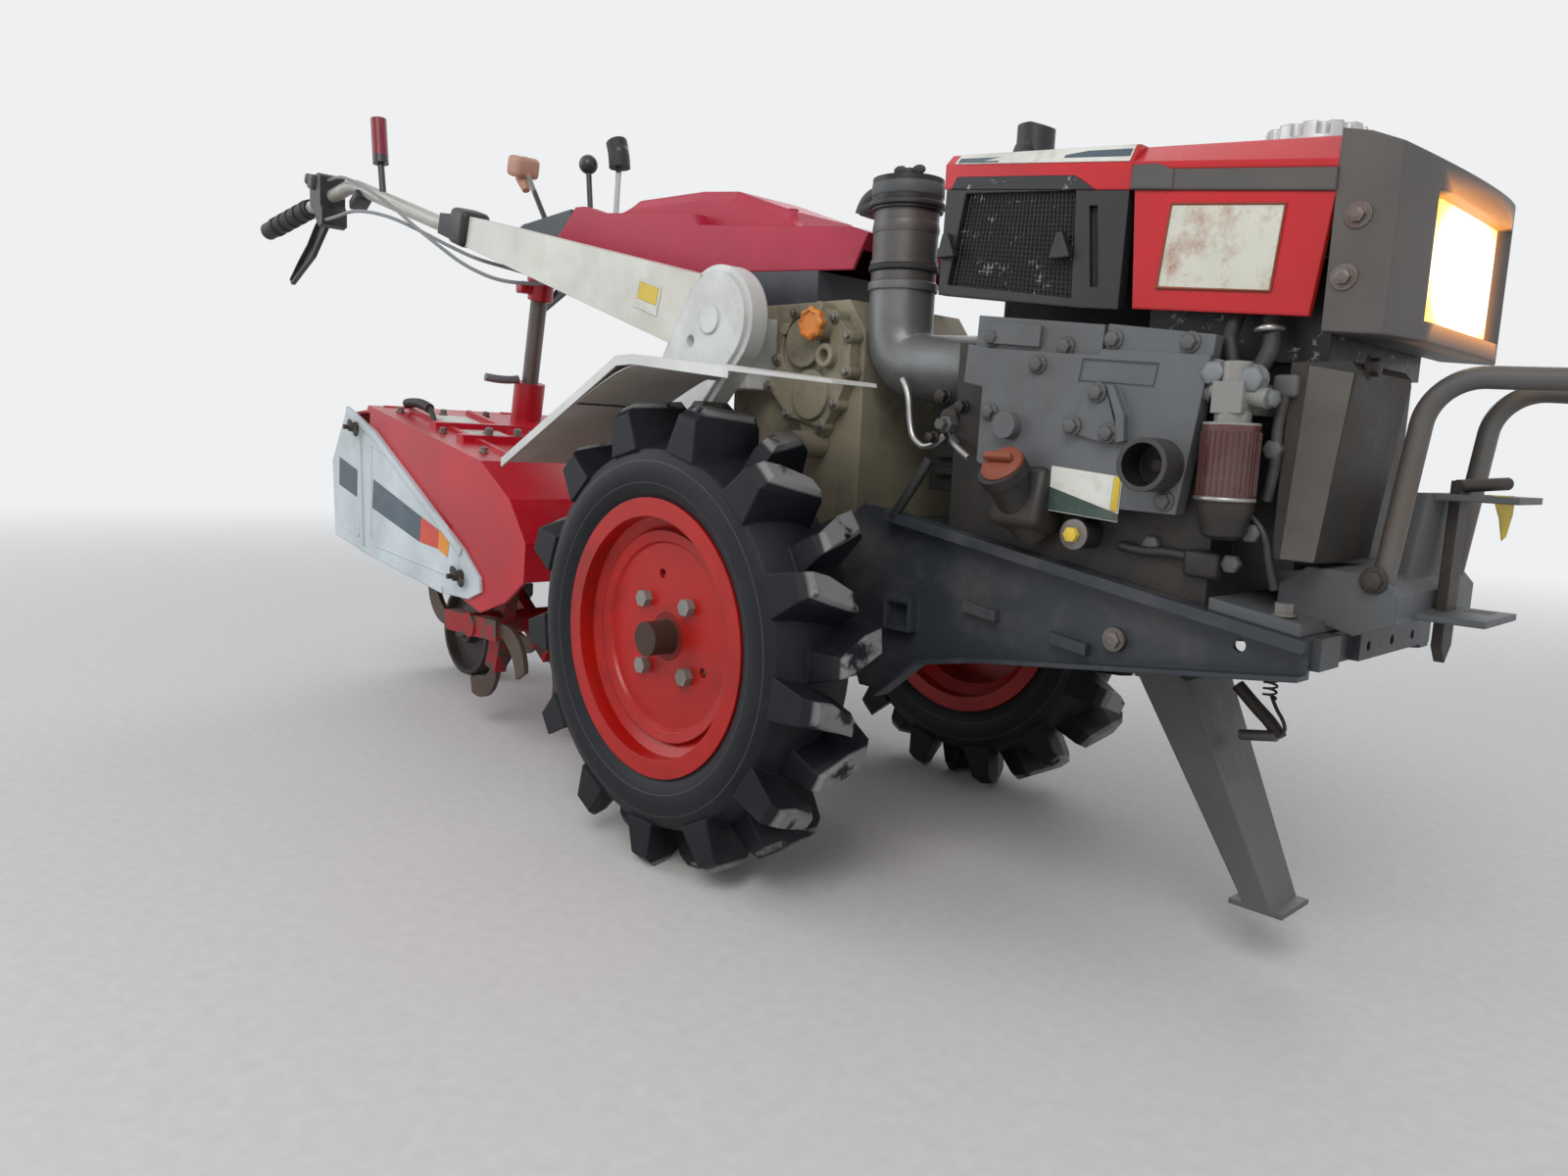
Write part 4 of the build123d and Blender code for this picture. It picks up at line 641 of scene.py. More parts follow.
def slab(name, corners, thickness, finish, round_by=0.0004):
    """A thin plate on a plane, from its corners in order, raised along their normal."""
    form = bmesh.new()
    face = form.faces.new([form.verts.new(c) for c in corners])
    form.normal_update()
    push = face.normal.copy() * thickness
    grown = bmesh.ops.extrude_face_region(form, geom=[face])
    tops = [v for v in grown["geom"] if isinstance(v, bmesh.types.BMVert)]
    bmesh.ops.translate(form, verts=tops, vec=push)
    bmesh.ops.bevel(form, geom=form.edges[:], offset=round_by, segments=1, affect="EDGES")
    bmesh.ops.recalc_face_normals(form, faces=form.faces[:])
    return keep(name, mesh_of(form, name), finish)


def side_slab(name, outline, y, thickness, finish):
    """A plate in the XZ plane whose visible face looks away from the machine."""
    back = [at(x, y, z) for x, z in outline]
    area = sum(a.x * b.z - b.x * a.z for a, b in zip(back, back[1:] + back[:1]))
    if area < 0:
        back.reverse()
    if y > 0:
        back.reverse()
    return slab(name, back, thickness, finish)


def plain_mesh(obj):
    """The evaluated object as a mesh of its own; the object itself goes."""
    graph = bpy.context.evaluated_depsgraph_get()
    mesh = bpy.data.meshes.new_from_object(obj.evaluated_get(graph))
    bpy.data.objects.remove(obj)
    return mesh


def hose(name, points, radius, finish, body="machine", sides=3):
    """A round hose, cable or bent rod along one smooth line."""
    line = bpy.data.curves.new(name, "CURVE")
    line.dimensions = "3D"
    line.bevel_depth = radius / 1000
    line.bevel_resolution = sides
    line.resolution_u = 8
    line.use_fill_caps = True
    spline = line.splines.new("NURBS")
    spline.points.add(len(points) - 1)
    for point, place in zip(spline.points, points):
        point.co = (*at(*place), 1)
    spline.order_u = 3
    spline.use_endpoint_u = True
    return keep(name, plain_mesh(add_object(name + "_line", line)), finish, body, smooth=True)


print("plates and hoses ready")

# %% [markdown]
# A turned piece is a profile of radius and height pairs, spun about an axis. A casting is a box with
# rounded edges, and a bent sheet is one section carried along a line.

# %% turned pieces, castings and bent sheets
SHARP = math.radians(40)    # edges that turn by more than this stay sharp


def skin(form, rings):
    """Faces between rings of vertices, with both ends closed."""
    for low, high in zip(rings, rings[1:]):
        for k in range(len(low)):
            after = (k + 1) % len(low)
            form.faces.new((low[k], low[after], high[after], high[k]))
    form.faces.new(list(reversed(rings[0])))
    form.faces.new(rings[-1])


def turned(name, profile, place, axis, finish, segments=28, lobes=0):
    """A turned piece from radius and height pairs, in millimetres, set on an axis; lobes make a grip."""
    form = bmesh.new()
    rings = []
    for radius, height in profile:
        ring = []
        for k in range(segments):
            a = math.tau * k / segments
            reach = radius / 1000 * (1 + (0.07 * math.cos(lobes * a) if lobes else 0))
            ring.append(form.verts.new((reach * math.cos(a), reach * math.sin(a), height / 1000)))
        rings.append(ring)
    skin(form, rings)
    turn_to = Vector(axis).to_track_quat("Z", "Y").to_matrix().to_4x4()
    bmesh.ops.transform(form, matrix=Matrix.Translation(at(*place)) @ turn_to, verts=form.verts[:])
    bmesh.ops.recalc_face_normals(form, faces=form.faces[:])
    piece = keep(name, mesh_of(form, name), finish, smooth=True)
    piece.data.set_sharp_from_angle(angle=SHARP)


def bent_strip(name, line, y0, y1, thickness, finish):
    """A closed bent sheet: the line in x and z, from y0 to y1, with its thickness below it."""
    form = bmesh.new()
    section = ((y0, 0), (y1, 0), (y1, thickness), (y0, thickness))
    skin(form, [[form.verts.new(at(x, y, z - drop)) for y, drop in section] for x, z in line])
    bmesh.ops.recalc_face_normals(form, faces=form.faces[:])
    piece = keep(name, mesh_of(form, name), finish, smooth=True)
    piece.data.set_sharp_from_angle(angle=SHARP)


def lump(name, low, high, finish, round_by=6, lean=(0, 0, 0)):
    """A small casting: a box between two corners with rounded edges, turned about its middle."""
    a, b = at(*low), at(*high)
    form = bmesh.new()
    bmesh.ops.create_cube(form, size=1.0)
    bmesh.ops.scale(form, vec=b - a, verts=form.verts[:])
    bmesh.ops.bevel(form, geom=form.edges[:], offset=round_by / 1000, segments=3, affect="EDGES",
                    profile=0.5)
    about_x, about_y, about_z = (Matrix.Rotation(math.radians(v), 4, axis) for v, axis in zip(lean, "XYZ"))
    spin = about_z @ about_y @ about_x
    bmesh.ops.transform(form, matrix=Matrix.Translation((a + b) / 2) @ spin, verts=form.verts[:])
    keep(name, mesh_of(form, name), finish, smooth=True)


def add_ears(form, turns, axis, reach, size):
    """The two rounded ears of a wing nut, turned about its axis."""
    for turn_by in turns:
        swing = Matrix.Rotation(math.radians(turn_by), 4, axis)
        ear = swing @ Matrix.Translation(reach) @ Matrix.Diagonal((*size, 1))
        bmesh.ops.create_uvsphere(form, u_segments=10, v_segments=6, radius=1.0, matrix=ear)


print("turned pieces, castings and sheets ready")

# %% [markdown]
# What repeats many times is made by Geometry Nodes. Each tree takes a plain mesh as its plan and a
# few inputs, and the mesh that comes out is kept as one piece.

# %% helpers for trees
def new_tree(name, *more):
    """A tree with geometry in and out, the keys of its further inputs, and its two end nodes."""
    tree = bpy.data.node_groups.new(name, "GeometryNodeTree")
    keys = []
    for title, kind in (("Geometry", "Geometry"), *more):
        socket = tree.interface.new_socket(title, in_out="INPUT", socket_type="NodeSocket" + kind)
        keys.append(socket.identifier)
    tree.interface.new_socket("Geometry", in_out="OUTPUT", socket_type="NodeSocketGeometry")
    return tree, keys[1:], add_node(tree, "NodeGroupInput").outputs, add_node(tree, "NodeGroupOutput").inputs


def through_tree(name, plan, tree, settings):
    """The mesh that a tree makes from a plan."""
    holder = add_object(name + "_plan", plan)
    mod = holder.modifiers.new(name, "NODES")
    mod.node_group = tree
    for key, value in settings.items():
        mod[key] = value
    bpy.context.view_layer.update()
    return plain_mesh(holder)


print("tree helpers ready")

# %% [markdown]
# Bolt heads are on every casting. One tree puts a hexagon head with its washer on each point of a
# mesh; the point carries its axis and its size as attributes, so one table places them all. Real
# ones are six-sided, stand on a round washer and have a slight dome.

# %% bolt tree
bolt_tree, (washer_key, bolt_finish_key), g_in, g_out = new_tree(
    "bolt_heads", ("Washer width", "Float"), ("Finish", "Material"))
head = add_node(bolt_tree, "GeometryNodeMeshCylinder", {"Vertices": 6, "Radius": 1, "Depth": 1})
lift = add_node(bolt_tree, "GeometryNodeTransform", {"Translation": (0, 0, 0.5)})
DOME = {"Vertices": 12, "Radius Top": 0.45, "Radius Bottom": 0.78, "Depth": 0.12}
dome = add_node(bolt_tree, "GeometryNodeMeshCone", DOME)
raise_dome = add_node(bolt_tree, "GeometryNodeTransform", {"Translation": (0, 0, 0.99)})
washer = add_node(bolt_tree, "GeometryNodeMeshCylinder", {"Vertices": 16, "Depth": 0.22})
lift_washer = add_node(bolt_tree, "GeometryNodeTransform", {"Translation": (0, 0, 0.11)})
parts = add_node(bolt_tree, "GeometryNodeJoinGeometry")
spread = add_node(bolt_tree, "GeometryNodeInstanceOnPoints")
axis_of, size_of = (
    add_node(bolt_tree, "GeometryNodeInputNamedAttribute", {"Name": title}, data_type="FLOAT_VECTOR")
    for title in ("axis", "size"))
aim = add_node(bolt_tree, "FunctionNodeAlignRotationToVector", axis="Z")
real = add_node(bolt_tree, "GeometryNodeRealizeInstances")
paint_bolts = add_node(bolt_tree, "GeometryNodeSetMaterial")
link_all(
    bolt_tree,
    (g_in["Washer width"], washer.inputs["Radius"]),
    (head.outputs["Mesh"], lift.inputs["Geometry"]),
    (dome.outputs["Mesh"], raise_dome.inputs["Geometry"]),
    (washer.outputs["Mesh"], lift_washer.inputs["Geometry"]),
    (lift.outputs[0], parts.inputs[0]),
    (raise_dome.outputs[0], parts.inputs[0]),
    (lift_washer.outputs[0], parts.inputs[0]),
    (g_in["Geometry"], spread.inputs["Points"]),
    (parts.outputs[0], spread.inputs["Instance"]),
    (axis_of.outputs["Attribute"], aim.inputs["Vector"]),
    (aim.outputs["Rotation"], spread.inputs["Rotation"]),
    (size_of.outputs["Attribute"], spread.inputs["Scale"]),
    (spread.outputs[0], real.inputs[0]),
    (real.outputs[0], paint_bolts.inputs["Geometry"]),
    (g_in["Finish"], paint_bolts.inputs["Material"]),
    (paint_bolts.outputs[0], g_out[0]),
)


def bolt_heads(name, table, finish, washer_width=1.35):
    """Bolt heads from rows of x, y, z, axis, radius and height, in millimetres."""
    plan = bpy.data.meshes.new(name)
    plan.from_pydata([at(*row[:3]) for row in table], [], [])
    axes = plan.attributes.new("axis", "FLOAT_VECTOR", "POINT")
    sizes = plan.attributes.new("size", "FLOAT_VECTOR", "POINT")
    for i, (x, y, z, axis, radius, height) in enumerate(table):
        axes.data[i].vector = Vector(axis).normalized()
        sizes.data[i].vector = (radius / 1000, radius / 1000, height / 1000)
    settings = {washer_key: washer_width, bolt_finish_key: finishes[finish]}
    keep(name, through_tree(name, plan, bolt_tree, settings), finish)


print("bolt tree", len(bolt_tree.nodes), "nodes")

# %% [markdown]
# The engine's cover has eleven bolts, three of them on its small sub-cover. The lamp housing has
# two on each cheek, the rails and the front bracket have larger ones, and the gear case's cover has
# a ring of them.

# %% place the bolts
COVER_Y = -184
cover_spots = ((342, 652, 8), (432, 640, 8), (488, 645, 3), (566, 640, 3), (406, 622, 0), (350, 574, 0),
               (480, 594, -6), (455, 561, -6), (495, 555, -6), (556, 494, 0), (463, 454, 2))
case_spots = ((-11, 700), (63, 691), (87, 667), (87, 622), (68, 582), (45, 554), (-19, 568), (-56, 605),
              (-42, 640))
engine_bolts = [(x, COVER_Y + proud, z, RIGHT, 7.5, 7) for x, z, proud in cover_spots]
case_bolts = [(x, -133, z, RIGHT, 5, 5) for x, z in case_spots]
lamp_bolts, rail_bolts = [], []
for side, end in SIDES:
    axis = (0, side, 0)
    lamp_bolts += [(x, side * 160, z, axis, 7, 6) for x, z in ((692, 742), (686, 692))]
    rail_bolts += [(134, side * 163, 432, axis, 8, 7), (505, side * 163, 352, axis, 9, 6),
                   (155, side * 155, 262, axis, 8, 7), (662, side * 150, 398.5, UP, 9, 12)]
bolt_heads("engine_bolts", engine_bolts, "stand_grey")
bolt_heads("lamp_bolts", lamp_bolts, "bolt_steel", washer_width=1.6)
bolt_heads("frame_bolts", rail_bolts, "bolt_steel")
bolt_heads("case_bolts", case_bolts, "bolt_steel")
print("bolts", len(engine_bolts + lamp_bolts + rail_bolts + case_bolts))

# %% [markdown]
# The tiller's upper cover is bolted together from pressed panels. Its bolts stand upright on the
# sloping sheet, in rows beside the ribs. Two plain white plates lie between them.

# %% tiller cover
SLOPE = (0.19, 0, 1)


def tiller_top(x):
    """Height of the tiller cover's rear slope at x."""
    return 479 + (-540 - x) * 81 / 420


top_bolts = [(x, y, tiller_top(x), SLOPE, 6, 9) for y in (-262, -178, -90, 90, 178, 262)
             for x in (-915, -745, -600)]
top_bolts += [(-690, y, tiller_top(-690) + 6, SLOPE, 7, 16) for y in (-205, -150, 150, 205)]
bolt_heads("tiller_bolts", top_bolts, "bolt_steel")
for name, x0, x1 in (("tiller_plate_a", -900, -830), ("tiller_plate_b", -815, -720)):
    ring = [at(x, y, tiller_top(x)) for x, y in ((x0, -215), (x1, -215), (x1, -140), (x0, -140))]
    slab(name, ring, 0.0012, "label_white")
print("tiller bolts", len(top_bolts))

# %% [markdown]
# The white side plates carry a slanted band in dark blue-grey, red and orange, and a smaller
# blue-grey field behind the fold. They are thin coloured films, so each is a sheet half a
# millimetre proud of the plate. Two wing nuts hold each plate.

# %% side plate bands and wing nuts
PLATE_Y = 305
FILM = 0.0006
bands = {   # name: finish and outline
    "stripe_blue": ("stripe_blue", [(-933, 427), (-736, 374), (-743, 330), (-938, 374)]),
    "stripe_red": ("stripe_red", [(-736, 374), (-670, 357), (-673, 325), (-743, 330)]),
    "stripe_orange": ("stripe_orange", [(-670, 357), (-631, 349), (-638, 314), (-673, 325)]),
    "rear_field": ("stripe_blue", [(-1090, 461), (-1006, 440), (-1008, 389), (-1092, 408)]),
}


def wing_nut(name, x, y, z, side):
    """A hub with two rounded ears, turned a little off level."""
    form = bmesh.new()
    across = Matrix.Rotation(math.radians(90), 4, "X")
    for segments, foot, top, depth in ((14, 0.010, 0.008, 0.014), (10, 0.0045, 0.0045, 0.034)):
        bmesh.ops.create_cone(form, cap_ends=True, segments=segments, radius1=foot, radius2=top, depth=depth,
                              matrix=across)
    add_ears(form, (35, 205), "Y", (0.015, 0, 0), (0.011, 0.0035, 0.008))
    bmesh.ops.translate(form, verts=form.verts[:], vec=at(x, side * (y + 8), z))
    keep(name, mesh_of(form, name), "tail_brown")


for side, end in SIDES:
    for name, (finish, outline) in bands.items():
        side_slab(f"{name}_{end}", outline, side * PLATE_Y, FILM, finish)
    wing_nut(f"wing_nut_rear_{end}", -1000, 308, 520, side)
    wing_nut(f"wing_nut_front_{end}", -590, 305, 290, side)
print("bands", 2 * len(bands), "wing nuts", 4)

# %% [markdown]
# The side grille is woven wire behind a black frame. A grid of edges is bent onto the slanted
# opening, and one tree turns all edges into thin four-sided wires.

# %% wire tree and grille
wire_tree, (gauge_key, sides_key, wire_finish_key), w_in, w_out = new_tree(
    "woven_wire", ("Wire radius", "Float"), ("Sides", "Int"), ("Finish", "Material"))
to_line = add_node(wire_tree, "GeometryNodeMeshToCurve")
round_wire = add_node(wire_tree, "GeometryNodeCurvePrimitiveCircle")
sweep_wire = add_node(wire_tree, "GeometryNodeCurveToMesh", {"Fill Caps": True})
real_wire = add_node(wire_tree, "GeometryNodeRealizeInstances")
paint_wire = add_node(wire_tree, "GeometryNodeSetMaterial")
link_all(
    wire_tree,
    (w_in["Geometry"], to_line.inputs["Mesh"]),
    (w_in["Wire radius"], round_wire.inputs["Radius"]),
    (w_in["Sides"], round_wire.inputs["Resolution"]),
    (to_line.outputs["Curve"], sweep_wire.inputs["Curve"]),
    (round_wire.outputs["Curve"], sweep_wire.inputs["Profile Curve"]),
    (sweep_wire.outputs["Mesh"], real_wire.inputs[0]),
    (real_wire.outputs[0], paint_wire.inputs["Geometry"]),
    (w_in["Finish"], paint_wire.inputs["Material"]),
    (paint_wire.outputs[0], w_out[0]),
)


def wires(name, lines, radius, finish, sides=4):
    """Wires of a radius in millimetres along lists of points in metres."""
    points, edges = [], []
    for line in lines:
        first = len(points)
        points += [tuple(p) for p in line]
        edges += [(first + i, first + i + 1) for i in range(len(line) - 1)]
    plan = bpy.data.meshes.new(name)
    plan.from_pydata(points, edges, [])
    settings = {gauge_key: radius / 1000, sides_key: sides, wire_finish_key: finishes[finish]}
    keep(name, through_tree(name, plan, wire_tree, settings), finish)


MESH_ACROSS, MESH_UP = 30, 22
opening = [Vector(corner) for corner in ((262, 714), (423, 690), (419, 796), (280, 810))]


def on_opening(u, v, y):
    """A point of the grille's opening, u along it and v up it."""
    spot = opening[0].lerp(opening[1], u).lerp(opening[3].lerp(opening[2], u), v)
    return at(spot.x, y, spot.y)


upright = [[on_opening(i / MESH_ACROSS, v, -155) for v in (0, 1)] for i in range(1, MESH_ACROSS)]
lying = [[on_opening(u, j / MESH_UP, -154) for u in (0, 1)] for j in range(1, MESH_UP)]
wires("grille_mesh", upright + lying, 1.0, "mesh_wire")
knob_form = [(-12, -12), (12, -12), (8, -2), (1, 14), (-5, 13), (-9, -2)]
for i, (x, z) in enumerate(((262, 755), (409, 742))):
    outline = [(x + dx, z + dz) for dx, dz in knob_form]
    side_slab(f"grille_knob_{i}", outline, -158, 0.010, "black_mould")
print("grille wires", len(upright) + len(lying))

# %% [markdown]
# Pressed ridges stiffen the white side plates: one runs round the long field behind the band and
# one round the short field. Half a wire's thickness stands out of the sheet.

# %% side plate ridges
plate_ridges = (
    [(-941, 490), (-862, 468), (-640, 364), (-600, 324), (-598, 300), (-618, 284), (-930, 306), (-943, 316),
     (-941, 490)],
    [(-1052, 521), (-992, 508), (-988, 500), (-996, 322), (-1002, 315), (-1078, 330)],
)
for side, end in SIDES:
    lines = [[at(x, side * 304.6, z) for x, z in ridge] for ridge in plate_ridges]
    wires(f"plate_ridges_{end}", lines, 2.2, "plate_white", sides=8)
print("ridges", 2 * len(plate_ridges))

# %% [markdown]
# The rear hood has a white band with blue-grey lines along its side, and the red panel below carries
# a rust-edged plate. The plates are pale sheets with worn rims.

# %% hood band and plates
HOOD_Y = 160
films = (   # name, ends in x, low and high share of the facet, proud by, finish
    ("hood_band", 262, 476, 0.02, 0.98, 0.4, "label_white"),
    ("hood_line_low", 266, 320, 0.10, 0.55, 0.9, "stripe_blue"),
    ("hood_line_top", 400, 474, 0.30, 0.72, 0.9, "stripe_blue"),
)


def hood_low(x):
    """Height of the hood's lower edge at x."""
    return 818 - (x - 250) * 0.1277


def on_facet(x, share, side, proud):
    """A point on the rear hood's sloping facet: share 0 at its knee, 1 at the top face."""
    knee, top = hood_low(x) + 26, 856 - (x - 250) * 0.098
    return at(x, side * (HOOD_Y - 12 * share + proud), knee + (top - knee) * share + proud * 0.5)


mesh_top = [(259, 817), (267, 829), (415, 811), (424, 806), (441, hood_low(441)), (259, hood_low(259))]
trim_hump = [(480, 789), (482, 811), (506, 809), (524, 801), (524, 783)]
panel = [(516, 694), (625, 684), (631, 758), (524, 770)]
for side, end in SIDES:
    for name, x0, x1, low, high, proud, finish in films:
        corners = ((x0, low), (x1, low), (x1, high), (x0, high))
        ring = [on_facet(x, share, side, proud) for x, share in corners]
        slab(f"{name}_{end}", ring[::-side], 0.0004, finish, round_by=0.0001)
    side_slab(f"mesh_top_{end}", mesh_top, side * HOOD_Y, FILM, "mesh_wire")
    side_slab(f"trim_hump_{end}", trim_hump, side * (HOOD_Y + 0.5), 0.0030, "grey_mould")
side_slab("panel_plate", panel, -HOOD_Y, 0.0010, "label_rusty")
rim_line = [at(x, -HOOD_Y - 1, z) for x, z in panel + panel[:1]]
wires("panel_plate_rim", [rim_line], 1.6, "rust_cap")
for name, outline, y, thickness, finish in (
    ("engine_plate", [(432, 521), (512, 514), (510, 470), (428, 476)], -184, 0.0012, "label_white"),
    ("engine_plate_field", [(431, 500), (511, 478), (510, 471), (429, 477)], -185.2, 0.0005, "label_green"),
    ("engine_plate_edge", [(503, 514.2), (511, 513.5), (509.5, 480), (501.5, 481)], -185.2, 0.0005,
     "label_yellow"),
    ("badge_floor", [(459, 625), (537, 619.5), (534.5, 600), (456, 605.5)], -182.6, 0.0008, "engine_grey"),
):
    side_slab(name, outline, y, thickness, finish)
print("hood plates set")

# %% [markdown]
# On each handle beam sits a small yellow plate. The beam tapers and leans, so the plate's corners
# are taken on the beam's own side face.

# %% beam plate
BEAM_FRONT, BEAM_REAR = Vector((-150, 172, 700)), Vector((-730, 222, 862))
LEAN = Vector((0.28, 0, 1)).normalized()
beam_films = (  # name, corners along and up the beam, proud by, thickness, finish
    ("beam_plate", ((0.118, -0.46), (0.118, 0.40), (0.205, 0.44), (0.205, -0.44)), 0.3, 0.0006,
     "label_white"),
    ("beam_field", ((0.126, -0.16), (0.126, 0.34), (0.197, 0.37), (0.197, -0.14)), 0.9, 0.0004,
     "label_yellow"),
)


def on_beam(along, up, side, proud):
    """A point on the beam's outer face: along from its front end, 0 to 1, and up across it."""
    middle = BEAM_FRONT.lerp(BEAM_REAR, along)
    half_wide = 21 + (18 - 21) * along
    rise = LEAN * (52 + (24 - 52) * along) * up
    return at(middle.x + rise.x, side * (middle.y + half_wide + proud), middle.z + rise.z)


for side, end in SIDES:
    for name, corners, proud, thickness, finish in beam_films:
        ring = [on_beam(along, up, side, proud) for along, up in corners]
        slab(f"{name}_{end}", ring[::-side], thickness, finish)
print("beam plates", 2 * len(beam_films))

# %% [markdown]
# The fuel system stands in front of the engine cover: a cock with union nuts, hoses with a bright
# clip, and a dark red-brown bowl with fine pleats. The pleats repeat around the bowl. Thin lines
# run on from it down to the sump.

# %% fuel system
BOWL = (610, -176)
PLEATS = 30


def around(x, y, radius, k, count):
    """Step k of count on a level circle."""
    a = math.tau * k / count
    return x + radius * math.cos(a), y + radius * math.sin(a)


pleats = [[at(*around(*BOWL, 25.2, i, PLEATS), z) for z in (503, 560)] for i in range(PLEATS)]
wires("filter_pleats", pleats, 0.9, "filter_brown")
turned("filter_cup", [(12, 0), (19, 4), (22, 16), (25, 28), (25.5, 36)], (610, -174, 463), UP,
       "engine_dark")
ring = [(*around(*BOWL, 26, k, 12), 500) for k in range(13)]
hose("filter_ring", ring, 2.2, "bright_steel")
unions = [(592, -178, 612, RIGHT, 11, 9), (626, -176, 606, RIGHT, 12, 10),
          (636, -170, 590, (1, -0.4, 0), 8, 9), (585, -172, 596, (-1, -0.4, 0), 9, 10)]
bolt_heads("fuel_unions", unions, "pale_casting", washer_width=1.15)
for name, radius, finish, points in (
    ("fuel_hose_a", 7, "grip_rubber",
     [(598, -160, 620), (592, -158, 640), (588, -150, 652), (590, -142, 668)]),
    ("fuel_hose_b", 8, "grip_rubber",
     [(622, -158, 618), (628, -152, 634), (624, -144, 648), (620, -140, 664)]),
    ("hose_clip", 3, "bright_steel",
     [(612, -150, 652), (620, -158, 653), (630, -152, 654), (632, -142, 654)]),
    ("fuel_line", 4, "black_mould",
     [(604, -150, 500), (622, -152, 488), (640, -152, 470), (646, -152, 440), (652, -150, 420)]),
    ("return_line", 5, "grip_rubber",
     [(646, -152, 600), (640, -154, 570), (644, -154, 530), (638, -154, 500)]),
    ("drain_pipe", 5, "black_mould",
     [(500, -156, 446), (524, -160, 442), (556, -158, 446), (584, -154, 440)]),
):
    hose(name, points, radius, finish)
lump("drain_tap", (570, -166, 424), (604, -148, 450), "engine_dark", 5)
print("pleats", len(pleats))

# %% [markdown]
# At the front corner the fan housing has a light panel; behind it everything is dark and oily. The
# filler cap on its neck and the gear case's plug are orange. Small plugs close the engine's side,
# and a stub shows in the crank tube.

# %% caps and plugs
turned("filler_cap", [(22, 0), (23.5, 3), (22.5, 11), (18, 14), (8, 15)], (396, -213, 514),
       (-0.02, -0.75, 0.66), "rust_cap")
turned("case_plug", [(19, 0), (20, 2), (20, 9), (17, 12), (15, 12.5), (14, 10), (5, 10)], (41, -146, 682),
       RIGHT, "orange_cap", segments=64, lobes=8)
lump("filler_grip", (378, -231, 524), (412, -223, 532), "rust_cap", 2.5, (-40, 0, 0))
lump("filler_body", (370, -202, 452), (432, -150, 516), "engine_dark", 9, (-14, 0, 0))
corner = [(654, 449), (684, 449), (700, 613), (662, 620)]
side_slab("corner_panel", corner, -150, 0.0015, "bare_panel")
lump("cowl_lug", (634, -158, 592), (656, -140, 612), "stand_grey", 4)
turned("drain_ring", [(15.5, 0), (15.5, 3), (11, 4)], (463, -182, 454), RIGHT, "bolt_steel")
turned("drain_mark", [(8, 0), (8, 7), (6, 8)], (463, -185, 454), RIGHT, "label_yellow",
       segments=6)
turned("crank_stub", [(7, 0), (7, 9), (4, 10)], (548, -182, 527), RIGHT, "tail_brown")
side_plugs = ((628, 470), (640, 546), (612, 440), (532, 450))
for i, (x, z) in enumerate(side_plugs):
    turned(f"side_plug_{i}", [(9, 0), (9, 8), (6, 10)], (x, -150, z), RIGHT, "stand_grey",
           segments=6)
print("side plugs", len(side_plugs))

# %% [markdown]
# Between the gear case and the engine stands the injection pump, half hidden and dark, with two
# bright pipes that bend past it and a few unions.

# %% injection pump
turned("pump_body", [(18, 0), (18, 22), (13, 26), (13, 34), (6, 36)], (272, -120, 566), RIGHT,
       "engine_dark")
turned("speed_nut", [(10, 0), (10, 16), (7, 18), (7, 26)], (276, -150, 560), RIGHT, "stand_grey",
       segments=6)
injection_pipe = [(250, -120, 566), (262, -140, 560), (276, -150, 548), (296, -172, 536), (322, -178, 524)]
pump_pipe = [(188, -140, 612), (200, -142, 600), (206, -143, 560), (214, -144, 540), (240, -146, 530),
             (262, -146, 548)]
hose("injection_pipe", injection_pipe, 4, "bright_steel")
hose("pump_pipe", pump_pipe, 4, "bright_steel")
frame_rod = [(258, -166, 520), (240, -172, 486), (214, -172, 452)]
hose("frame_rod", frame_rod, 6, "black_mould")
unions = [(262, -150, 592, RIGHT, 8, 12), (290, -152, 580, RIGHT, 7, 10), (250, -150, 545, RIGHT, 6, 12),
          (282, -152, 540, RIGHT, 6, 8)]
bolt_heads("pump_unions", unions, "engine_dark", washer_width=1.15)
print("pump unions", len(unions))

# %% [markdown]
# The air cleaner's black cap has a wing nut on top, a band runs round its bowl, and a smooth sleeve
# covers the bend of the intake elbow below. The exhaust ends in a curved mouth, and a dark block
# behind the grille stands in for the shade under the hood and the dark parts in it.

# %% air cleaner, elbow and exhaust
CLEANER = (136, -90)
for name, profile, z, finish in (
    ("cleaner_rim", [(45, 0), (47, 1.5), (47, 6), (44.6, 8)], 820, "black_mould"),
    ("cleaner_label", [(44.4, 0), (44.6, 0.5), (44.6, 15), (44.4, 15.5)], 833, "console_grey"),
    ("cleaner_band", [(41, 0), (43.5, 2), (43.5, 7), (41, 9)], 744, "grip_rubber"),
    ("cleaner_shoulder", [(40.4, 0), (41.5, 6), (40.4, 14)], 790, "cleaner_bowl"),
):
    turned(name, profile, (*CLEANER, z), UP, finish)
beak = [(112, -96, 846), (90, -99, 842), (76, -100, 832), (72, -100, 820)]
hose("cleaner_beak", beak, 11, "black_mould", sides=4)
nut = bmesh.new()
bmesh.ops.create_cone(nut, cap_ends=True, segments=12, radius1=0.007, radius2=0.005, depth=0.012)
add_ears(nut, (20, 200), "Z", (0.012, 0, 0.004), (0.009, 0.003, 0.006))
bmesh.ops.translate(nut, verts=nut.verts[:], vec=at(*CLEANER, 864))
keep("cleaner_nut", mesh_of(nut, "cleaner_nut"), "tail_brown")
sleeve = [(x, -90, z) for x, z in (
    (136, 731), (136, 694), (137, 664), (150, 638), (180, 628), (225, 626), (279, 624))]
hose("elbow_sleeve", sleeve, 40.5, "elbow_grey", sides=6)
